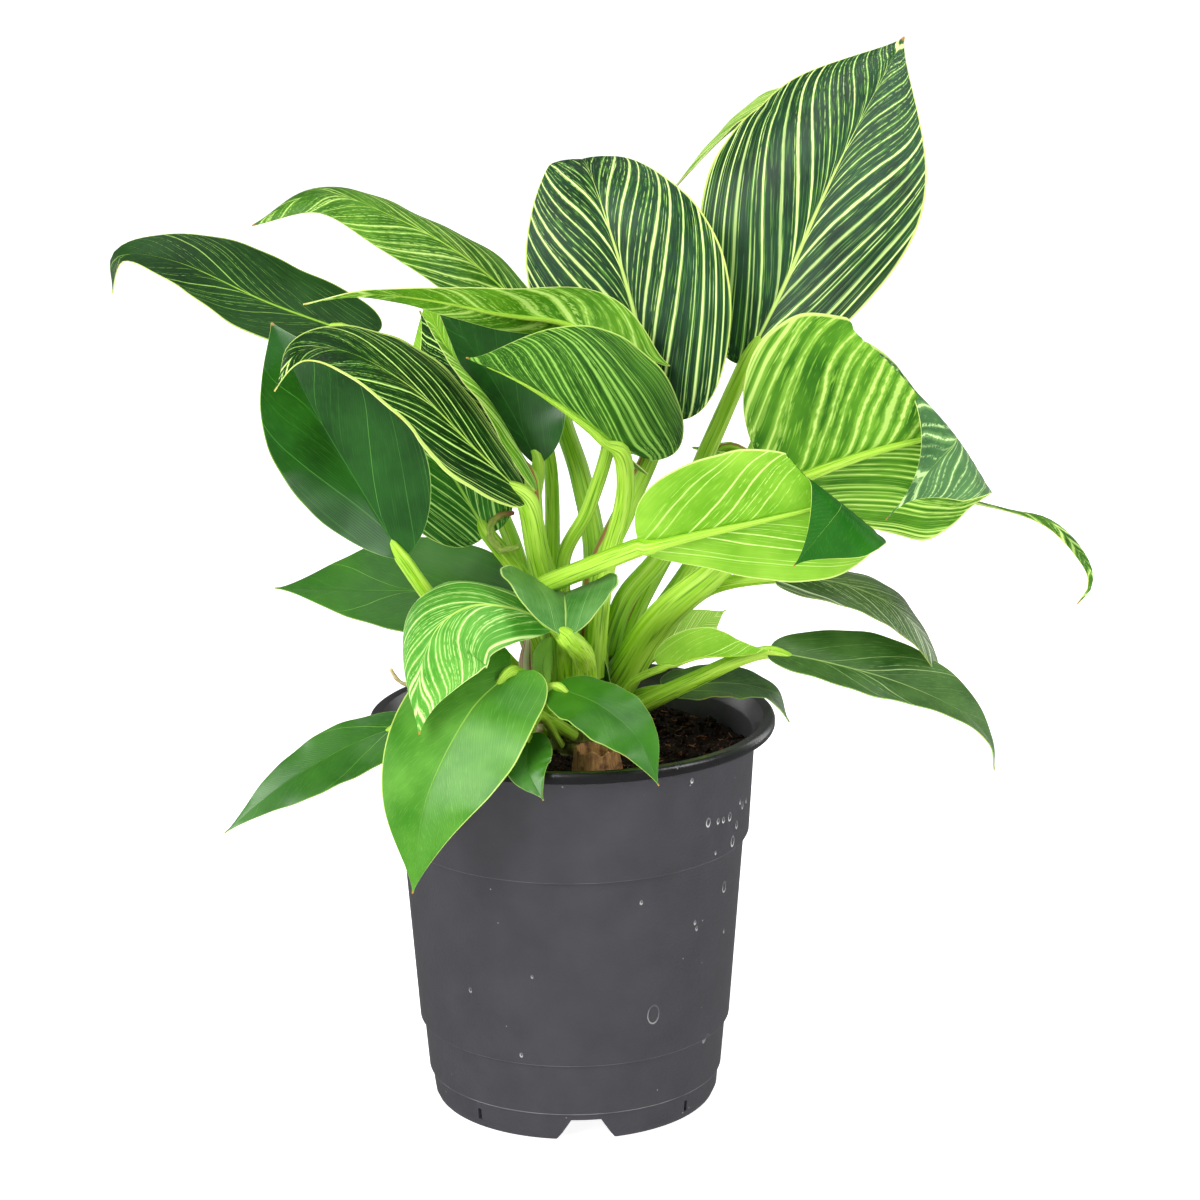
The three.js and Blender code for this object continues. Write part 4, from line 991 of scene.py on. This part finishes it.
# ---- Leaves on the left ----------------------------------------------------------------------
# A heavily banded leaf curls over a big plain glossy one, a banded one stands between them
# and the stems, and two plain ones lie low, one of them out over the rim.
plain_green = plain_leaf(
    "plain_green_upper", (30, 92, 8), (58, 122, 22), (80, 146, 38), (124, 180, 64), (92, 156, 34),
    (166, 198, 84), keep=0.2, width=0.03, fine_keep=0.2, dashes=0.3, rib_width=0.014,
    margin_from=0.985, roughness=0.34, specular=0.3, coat=0.4,
)

grow_leaf(
    "leaf_left_striped", deep_striped, stalk_radius=(5.5, 4),
    stalk=[(-3, -7, 154), (-5, -14, 186), (-11, -24, 213)],
    rib=[
        (-15, -35, 236), (-32.5, -45, 256), (-52.5, -55, 279), (-74, -64, 294), (-90.5, -70, 295.5),
        (-99, -74, 283),
    ],
    face=[
        (0.1, -0.45, 0.9), (0.1, -0.45, 0.9), (0.1, -0.35, 0.9), (0, -0.35, 0.95),
        (-0.25, -0.35, 0.9), (-0.9, -0.25, 0.35),
    ],
    half=(24, 32), widest=(0.45, 0.45), lobe=0, fold=[[5], [8]], curl=[[-20], [-20]],
)
grow_leaf(
    "leaf_left_plain_large", plain_dark, stalk_radius=(3.6, 2.8),
    stalk=[(-6, -4, 145), (-26, -22, 176), (-46, -34, 196)],
    rib=[(-59, -42, 217), (-75.5, -44, 247), (-90.5, -42, 274), (-103, -36, 300)],
    face=[(0.1, -0.8, 0.6)] * 4,
    half=(23, 28), widest=(0.5, 0.42), full=(0.7, 0.35), lobe=0, fold=[[8], [30]],
)
grow_leaf(
    "leaf_left_striped_inner", green_striped, stalk_radius=(4, 3),
    stalk=[(-6, -1, 151), (-11, -2, 187), (-20, -4, 203)],
    rib=[(-30, -8, 217.5), (-41.5, -4, 236.5), (-54, 0, 256), (-66.5, 2, 275)],
    face=[(-0.3, -0.8, 0.5), (-0.3, -0.8, 0.5), (-0.2, -0.85, 0.5), (-0.2, -0.85, 0.5)],
    half=(23, 20), lobe=0.04, fold=[[8], [8]], curl=[[-10], [-30]],
)
grow_leaf(
    "leaf_low_left_plain", plain_green, stalk_radius=(3, 2.4),
    stalk=[(-14, 15, 148), (-14, 14, 171)],
    rib=[(-25, 18, 186), (-52.5, 16, 189.5), (-82, 12, 191.5), (-109.5, 10, 193)],
    face=[(0, -0.6, 0.8)] * 4,
    half=(22, 25),
)
grow_leaf(
    "leaf_low_left_over_rim", plain_green, stalk_radius=(2.2, 1.8),
    stalk=[(-7, -3, 140), (-34, -14, 150), (-49, -25, 153)],
    rib=[(-61.5, -34, 153), (-82, -42, 146.5), (-104, -50, 135), (-123.5, -56, 120)],
    face=[(0, -0.6, 0.8), (0, -0.6, 0.8), (-0.2, -0.7, 0.7), (-0.2, -0.8, 0.6)],
    half=(14, 10),
)

# ---- Leaves on the right ---------------------------------------------------------------------
# The broadest leaf of the plant turns its underside up and rolls its far side back over
# itself. A long drawn-out tail of another hangs beyond it, and below it a banded leaf and
# a plain one arch out, with two small pale ones and one that rests over the rim.
# The grey cast of these two plain leaves is partly a painted sheen: glancing light over their
# green, painted into the colour.
greyish_sheen = plain_leaf(
    "greyish_sheen_upper", (28, 68, 8), (72, 110, 48), (98, 136, 70), (160, 186, 122), (140, 170, 92),
    (176, 200, 118), keep=0.35, width=0.05, fine_keep=0.3, dashes=0.5, margin_from=0.983,
    roughness=0.38, specular=0.3, coat=0.3,
)
# Its fine pale streaks are the leaf's own; its grey cast is partly a painted sheen of glancing
# light.
streaked_green = plain_leaf(
    "streaked_upper", (32, 68, 14), (80, 112, 58), (118, 148, 86), (206, 220, 176), (160, 186, 112),
    (180, 204, 124), count=16, keep=0.85, width=0.1, margin_from=0.983, roughness=0.38,
    specular=0.3, coat=0.3,
)

grow_leaf(
    "leaf_right_rolled", rolled_back, stalk_radius=(7, 4),
    stalk=[(17, 7, 156), (33, -4, 184), (54, -8, 204), (68, -8, 221)],
    rib=[(76, -6, 234.5), (100, 0, 242), (122, 4, 247.5), (151, 6, 252), (178.5, 6, 254)],
    face=[(0, 1, 0.2)] * 5,
    half=(40, 60), widest=(0.5, 0.23), full=(0.72, 1.8), fold=[[15, 10, 0, 0, 0], [0]],
    curl=[[10, 5, 0, 0], [-10, 0, 0]],
    over=((146.5, 6, 210.5), (105, 6, 290), (0, -1, -0.2), (4.5, 2.5), 8.5, 180), ripple=1.2,
    sweep=(1.1, 0.28),
)
grow_leaf(
    "leaf_right_long_tail", bright, stalk_radius=(3.4, 2.6),
    stalk=[(15, 14, 160), (26, 26, 183), (43, 36, 212)],
    rib=[
        (56, 40, 237.5), (86, 40, 233), (123.5, 38, 224.5), (160.5, 34, 216), (179, 30, 211),
        (191.5, 26, 197.5), (194, 25, 188), (189, 24, 181),
    ],
    face=[
        (0, 0.1, 1), (0, 0.1, 1), (0, 0.2, 1), (0.1, 0.25, 0.95), (0.4, -0.3, 0.85),
        (0.65, -0.75, 0.2), (0.65, -0.75, 0), (0.65, -0.75, -0.1),
    ],
    half=(7, 7), full=(0.45, 0.45), curl=[[-20], [-20]],
)
grow_leaf(
    "leaf_right_arched", streaked_green, stalk_radius=(3.4, 2.4),
    stalk=[(18, 11, 150), (29, 10, 169), (44, 6, 188), (57, -3, 197)],
    rib=[(79, -10, 201), (100, -12, 198), (119.5, -14, 188.5), (132, -16, 171), (133, -18, 153)],
    face=[
        (0.1, -0.3, 0.95), (0.2, -0.3, 0.95), (0.55, -0.3, 0.75), (0.9, -0.3, 0.3), (0.95, -0.3, 0),
    ],
    half=(17, 12), fold=[[0], [0]], curl=[[-20], [-20]],
)
grow_leaf(
    "leaf_right_low_plain", greyish_sheen, stalk_radius=(4, 2.4),
    stalk=[(18, 7, 144), (27, -4, 152), (47, -12, 164), (61, -17, 172)],
    rib=[
        (72.5, -20, 175.5), (93.5, -24, 172), (118.5, -28, 165.5), (140, -32, 156),
        (150.5, -34, 145), (152.5, -34, 134.5),
    ],
    face=[
        (0.1, -0.5, 0.85), (0.1, -0.5, 0.85), (0.2, -0.5, 0.85), (0.4, -0.5, 0.8), (0.8, -0.4, 0.4),
        (0.95, -0.3, 0.1),
    ],
    half=(18, 11), widest=(0.42, 0.36), full=(0.6, 1), lobe=0.03, fold=[[10], [5]],
)
grow_leaf(
    "leaf_right_small_pale", lime, stalk_radius=(1.6, 1.4),
    stalk=[(17, 6, 140), (21, -12, 161)],
    rib=[(33.5, -20, 170), (46.5, -22, 174.5), (61, -24, 175.5), (72, -26, 178)],
    face=[(0, 0.3, 0.95)] * 4,
    half=(8, 11), fold=[[20], [70]],
)
grow_leaf(
    "leaf_right_over_rim", greyish_sheen, stalk_radius=(2, 1.8),
    stalk=[(19, 13, 141), (24, 10, 151)],
    rib=[(36.5, 10, 153.5), (57, 14, 154), (73, 14, 150.5), (81, 10, 140)],
    face=[(0, -0.2, 1), (0, -0.2, 1), (0.3, -0.2, 0.95), (0.95, -0.2, 0.3)],
    half=(14, 14),
)
grow_leaf(
    "leaf_right_small_back", small_pale, stalk_radius=(1.8, 1.6),
    stalk=[(16, 15, 148), (25, 26, 157)],
    rib=[(37.5, 34, 162.5), (46, 40, 168), (58.5, 46, 174)],
    face=[(0, -1, 0.2)] * 3,
    half=(8, 9), fold=[[10], [10]],
)

# ---- Leaves in front -------------------------------------------------------------------------
# A lime leaf swings across the stems with its rib up, a young banded one hangs over the rim
# beside a small cupped one, and three plain ones of the first leaves hang down in front.
young_upper = leaf_face(
    "young_upper", (60, 140, 30), (98, 172, 60), (136, 200, 86), (220, 250, 160), (190, 228, 106),
    (214, 236, 150), count=12, width=0.18, fine_keep=0.6,
)
young = banded_leaf(young_upper)
# The lighter green of the front left plain leaf is partly a painted sheen of the light on its upper
# side.
plain_light_sheen = plain_leaf(
    "plain_light_sheen_upper", (52, 120, 16), (96, 160, 54), (120, 180, 72), (168, 212, 106),
    (140, 190, 70), (186, 214, 104), keep=0.15, width=0.03, fine_keep=0.15, dashes=0.3,
    rib_width=0.02, roughness=0.36, coat=0.2,
)
# The pale blue-green of the small cupped leaf is partly a painted sheen of glancing light over its
# green.
bluish_sheen = plain_leaf(
    "bluish_sheen_upper", (52, 116, 40), (112, 164, 88), (136, 184, 106), (190, 222, 142),
    (180, 216, 110), (206, 228, 140), keep=0.3, width=0.04, fine_keep=0.3, roughness=0.36, coat=0.2,
)

grow_leaf(
    "leaf_front_lime", lime, stalk_radius=(4.2, 3.4),
    stalk=[(-5, -7, 150), (-15, -14, 179), (-17, -22, 194), (-10, -31, 203), (7, -42, 213)],
    rib=[
        (24.5, -50, 222), (45.5, -50, 227), (66.5, -48, 231), (94.5, -48, 238), (121.5, -48, 249.5),
    ],
    face=[(0, 0.95, 0.25)] * 5,
    half=(29, 29), widest=(0.6, 0.34), full=(0.5, 1.1), lobe=0, fold=[[0], [0]],
    over=((108, -48, 215), (85.5, -48, 244), (0, -1, -0.2), (3, 3), 0, 180), sweep=(1, 0.5),
)
grow_leaf(
    "leaf_front_left_striped", young, stalk_radius=(3.4, 2.8),
    stalk=[(-1, -8, 149), (-2, -24, 176), (-2, -36, 185)],
    rib=[
        (-6, -44, 192.5), (-20.5, -53, 201), (-34, -61, 204), (-44.5, -68, 199.5), (-50, -74, 190),
        (-52.5, -79, 177.5), (-52, -82, 164),
    ],
    face=[
        (0, -0.6, 0.8), (0, -0.6, 0.8), (-0.1, -0.7, 0.7), (-0.2, -0.85, 0.5), (-0.3, -0.9, 0.3),
        (-0.3, -0.95, 0.1), (-0.3, -0.95, 0.1),
    ],
    half=(22, 25), widest=(0.55, 0.26), lobe=0.02, fold=[[-20], [-5]], curl=[[-10], [-50]],
    ripple=0.15,
)
grow_leaf(
    "leaf_front_small_cupped", bluish_sheen, stalk_radius=(5, 3.6),
    stalk=[(5, -7, 147), (5, -26, 173), (3, -44, 184)],
    rib=[(-1.5, -60, 193), (-1.5, -50, 199), (-2, -38, 201), (-2, -24, 199)],
    face=[(0, -0.3, 0.95), (0, -0.2, 1), (0, 0, 1), (0, 0.3, 0.95)],
    half=(26, 21), widest=(0.5, 0.5), full=(0.8, 0.75), fold=[[30], [26]],
)
grow_leaf(
    "leaf_front_left_plain", plain_light_sheen, stalk_radius=(3, 2.4),
    stalk=[(-4, -7, 142), (-12, -30, 165)],
    rib=[(-20.5, -56, 179), (-35.5, -70, 167.5), (-50, -84, 141), (-55, -92, 109.5)],
    face=[(0, -0.7, 0.7), (0, -0.8, 0.6), (0, -0.85, 0.5), (0, -1, 0.2)],
    half=(24, 22), full=(0.52, 0.75), fold=[[8], [8]],
)
grow_leaf(
    "leaf_front_small_plain", plain_green, stalk_radius=(2.6, 2.2),
    stalk=[(1, -9, 141), (-16, -30, 160)],
    rib=[(-5, -56, 173), (10.5, -66, 169), (23.5, -77, 160), (30.5, -84, 145.5)],
    face=[(0.2, -0.5, 0.85), (0.3, -0.55, 0.75), (0.3, -0.75, 0.55), (0.25, -0.9, 0.35)],
    half=(12, 16), full=(0.52, 0.75), lobe=0.02,
)
grow_leaf(
    "leaf_front_tiny", plain_green, stalk_radius=(1.6, 1.4),
    stalk=[(-4, -8, 137), (-11, -34, 156)],
    rib=[(-14.5, -64, 157.5), (-15, -76, 149.5), (-9.5, -84, 140.5)],
    face=[(0, -0.7, 0.7), (0, -0.85, 0.5), (0, -0.95, 0.3)],
    half=(9, 9), fold=[[10], [10]],
)

# ---- New growth and sheaths ------------------------------------------------------------------
# At the foot of the stalks: a green bud scale cupped forward, a pale papery sheath streaked
# with red beside it, and the dark narrow spear of a leaf that hasn't opened.
bud_green = leaf_face(
    "bud_outer", (120, 186, 60), (150, 206, 80), (160, 212, 96), (196, 226, 130), (120, 170, 60),
    (200, 214, 110), keep=0.3, width=0.04, dashes=0.4,
)
streaked = Finish("sheath_red_streaked", 0.6)
start, across = streaked.uv("vein")
streak = streaked.noise(streaked.point(across * 3.2, start * 0.7, 0), 1, 3, 0.6)
red = streaked.noise(streaked.point(across * 2.1, start * 0.5, 5), 1, 2)
colour = streaked.mix(streak.over(0.35, 0.65), rgb(226, 210, 160), rgb(244, 236, 206))
colour = streaked.mix(red.over(0.5, 0.58) * 0.85, colour, rgb(176, 66, 70))
streaked.wear(colour, 0.5 + streak * 0.15, streak, 0.0003)


def grow_scale(node, finishes, rib, face, half, widest, full, fold, curl):
    """A small sheath or bud scale: a blade without a stalk."""
    scale = bmesh.new()
    rib = [Vector(point) for point in rib]
    face = [Vector(way) for way in face]
    seed = len(grown) + 1
    shape = (rib, face, half, widest, full, 0, fold, curl, None, 0.1, (40, 20))
    grow_blade(scale, seed, *shape)
    grown.append(settle(scale, "fresh_" + node, finishes, node, sharp=60))


grow_scale(
    "sheath_streaked", [streaked, streaked, streaked],
    rib=[(-14.5, -17, 158), (-16.5, -24, 171), (-15.5, -26.5, 184.5)],
    face=[(0, -1, 0.1), (0, -1, 0.1), (0, -1, 0.1)],
    half=(3.4, 3.4), widest=(0.45, 0.45), full=(0.4, 0.3),
    fold=[[-15], [-15]], curl=[[-60], [-60]],
)
grow_scale(
    "bud_cupped", [bud_green, bud_green, cream_margin],
    rib=[(-9, -33, 167), (-10, -36.5, 176), (-7, -34, 185.5)],
    face=[(0, 0.9, -0.2), (0, 1, 0.1), (0, 1, 0.5)],
    half=(9, 9), widest=(0.5, 0.5), full=(0.4, 0.2),
    fold=[[15], [15]], curl=[[110], [110]],
)
grow_scale(
    "leaf_spear", plain_dark[0],
    rib=[(13.5, -3, 157), (11, -5, 168), (8, -6, 180)],
    face=[(-0.4, -1, 0), (-0.4, -1, 0), (-0.4, -1, 0)],
    half=(3, 2.4), widest=(0.3, 0.3), full=(0.6, 0.9),
    fold=[[25], [25]], curl=[[0], [0]],
)

# ---- Roots and the dried sheath --------------------------------------------------------------
# A straw-coloured aerial root climbs out of the soil at the left, the stub of another stands
# by the main stem, and one old sheath has dried, greened and curled into a loop.
root_skin = Finish("root_skin", 0.8)
spot = root_skin.place()
streak = root_skin.noise(spot, 420, 4, 0.7)
colour = root_skin.mix(streak.over(0.35, 0.65), rgb(198, 168, 112), rgb(238, 222, 176))
root_skin.wear(colour, 0.7 + streak * 0.2, streak, 0.0003)
dry_sheath = Finish("sheath_dried", 0.7)
around, upward = dry_sheath.uv("blade")
streak = dry_sheath.noise(dry_sheath.point(around * 9, upward * 6, 0), 1, 4, 0.7)
colour = dry_sheath.mix(streak.over(0.35, 0.65), rgb(110, 150, 44), rgb(176, 190, 90))
colour = dry_sheath.mix(upward.over(0.6, 0.95), colour, rgb(120, 70, 36))
dry_sheath.wear(colour, 0.55 + streak * 0.2, streak, 0.0003)


def knotted(turn, share):
    """A root's cross section, thicker and thinner along its length."""
    return 1 + 0.14 * math.sin(share * 31 + turn) + 0.1 * math.sin(share * 57)


STRANDS = [
    ("aerial_root_left", root_skin, "root", (1.2, 0.7),
     [(-42, -6, 127), (-48, -8, 147), (-57, -11, 159.5), (-63, -13, 163.5), (-66, -14, 169)]),
    ("dried_sheath_curl", dry_sheath, "bark", (0.9, 1.5, 1.5, 0.8),
     [(-18, -14, 214), (-25, -12, 212.5), (-29, -10, 218), (-26.5, -8, 223.5), (-20, -9, 225.5)]),
    ("root_stub", root_skin, "root", (2, 1.6),
     [(-14, -12, 126), (-13, -11, 137), (-11.5, -10, 146)]),
]
for node, finish, slot, radii, path in STRANDS:
    strand = bmesh.new()
    tube(strand, [Vector(point) for point in path], radii, 14, 60, section=knotted)
    settle(strand, "dry_" + node, [finish], node, sharp=60)

# ---- The studio ------------------------------------------------------------------------------
# The plant stands on a wide white sweep in soft light from all round: broad windows from the
# left and above, a weaker one from the right, and two narrow ones behind that edge the pot.


def stand_in_studio(work, name, base, brightness):
    """Makes a mesh a bright part of the studio, with a base colour from black to white."""
    mesh = bpy.data.meshes.new(name)
    work.to_mesh(mesh)
    work.free()
    paint = Finish(name + "_white", 0.9)
    paint.shader.inputs["Base Color"].default_value = (base, base, base, 1)
    paint.shader.inputs["Emission Color"].default_value = (1, 1, 1, 1)
    paint.shader.inputs["Emission Strength"].default_value = brightness
    mesh.materials.append(paint.material)
    part = bpy.data.objects.new(name, mesh)
    part.visible_glossy = False
    bpy.context.scene.collection.objects.link(part)
    return part


FLOOR_HALF = 12
floor = bmesh.new()
bmesh.ops.create_grid(floor, x_segments=2, y_segments=2, size=FLOOR_HALF)
bmesh.ops.translate(floor, vec=(0, 4, -0.0005), verts=floor.verts)
stand_in_studio(floor, "sweep", 0.8, 0.9)

BACKDROP_RADIUS = 11
drum = bmesh.new()
bmesh.ops.create_cone(
    drum, cap_ends=False, segments=64, radius1=BACKDROP_RADIUS, radius2=BACKDROP_RADIUS,
    depth=2 * BACKDROP_RADIUS,
)
backdrop = stand_in_studio(drum, "backdrop", 0, 1)
backdrop.visible_diffuse = False
backdrop.visible_shadow = False

world = bpy.data.worlds.new("studio")
world.use_nodes = True
world.node_tree.nodes["Background"].inputs["Color"].default_value = (1, 1, 1, 1)
world.node_tree.nodes["Background"].inputs["Strength"].default_value = 0.2
bpy.context.scene.world = world
bpy.context.scene.view_settings.view_transform = "Standard"

WINDOWS = [  # name, place, wide, high, watts
    ("window_left", Vector((-1.1, -1.5, 1.9)), 1.2, 1.2, 40),
    ("window_low_left", Vector((-1.16, -1.84, 1.2)), 1.2, 0.9, 20),
    ("window_right", Vector((1.7, -0.7, 1.1)), 0.7, 1.2, 16),
    ("window_top", Vector((0.2, 0.3, 2.3)), 1.2, 1.2, 12),
    ("window_back_left", Vector((-1.5, 1.25, 0.4)), 0.6, 1.5, 5),
    ("window_back_right", Vector((1.5, 1.25, 0.4)), 0.6, 1.5, 7),
]
plant_middle = Vector((0, 0, 0.2))
for name, spot, wide, high, watts in WINDOWS:
    light = bpy.data.lights.new(name, "AREA")
    light.shape = "RECTANGLE"
    light.size = wide
    light.size_y = high
    light.energy = watts
    window = bpy.data.objects.new(name, light)
    window.location = spot
    window.visible_camera = False
    window.rotation_euler = (plant_middle - spot).to_track_quat("-Z", "Y").to_euler()
    bpy.context.scene.collection.objects.link(window)

# ---- The camera ------------------------------------------------------------------------------
# A 100 mm lens on a 36 mm frame, a good metre away and a little above the leaves.
LOOKS_AT = at(10.6, 0, 190.2)
DISTANCE = 1.222
TILT = math.radians(14.5)
ROLL = math.radians(-0.41)
forward = Vector((0, math.cos(TILT), -math.sin(TILT)))
level_right = Vector((1, 0, 0))
level_up = level_right.cross(forward)
right = math.cos(ROLL) * level_right + math.sin(ROLL) * level_up
up = math.cos(ROLL) * level_up - math.sin(ROLL) * level_right
lens = bpy.data.cameras.new("camera")
lens.lens = 100
lens.sensor_width = 36
camera = bpy.data.objects.new("camera", lens)
place = LOOKS_AT - forward * DISTANCE
turn = Matrix((right, up, -forward)).transposed().to_4x4()
camera.matrix_world = Matrix.Translation(place) @ turn
bpy.context.scene.collection.objects.link(camera)
bpy.context.scene.camera = camera
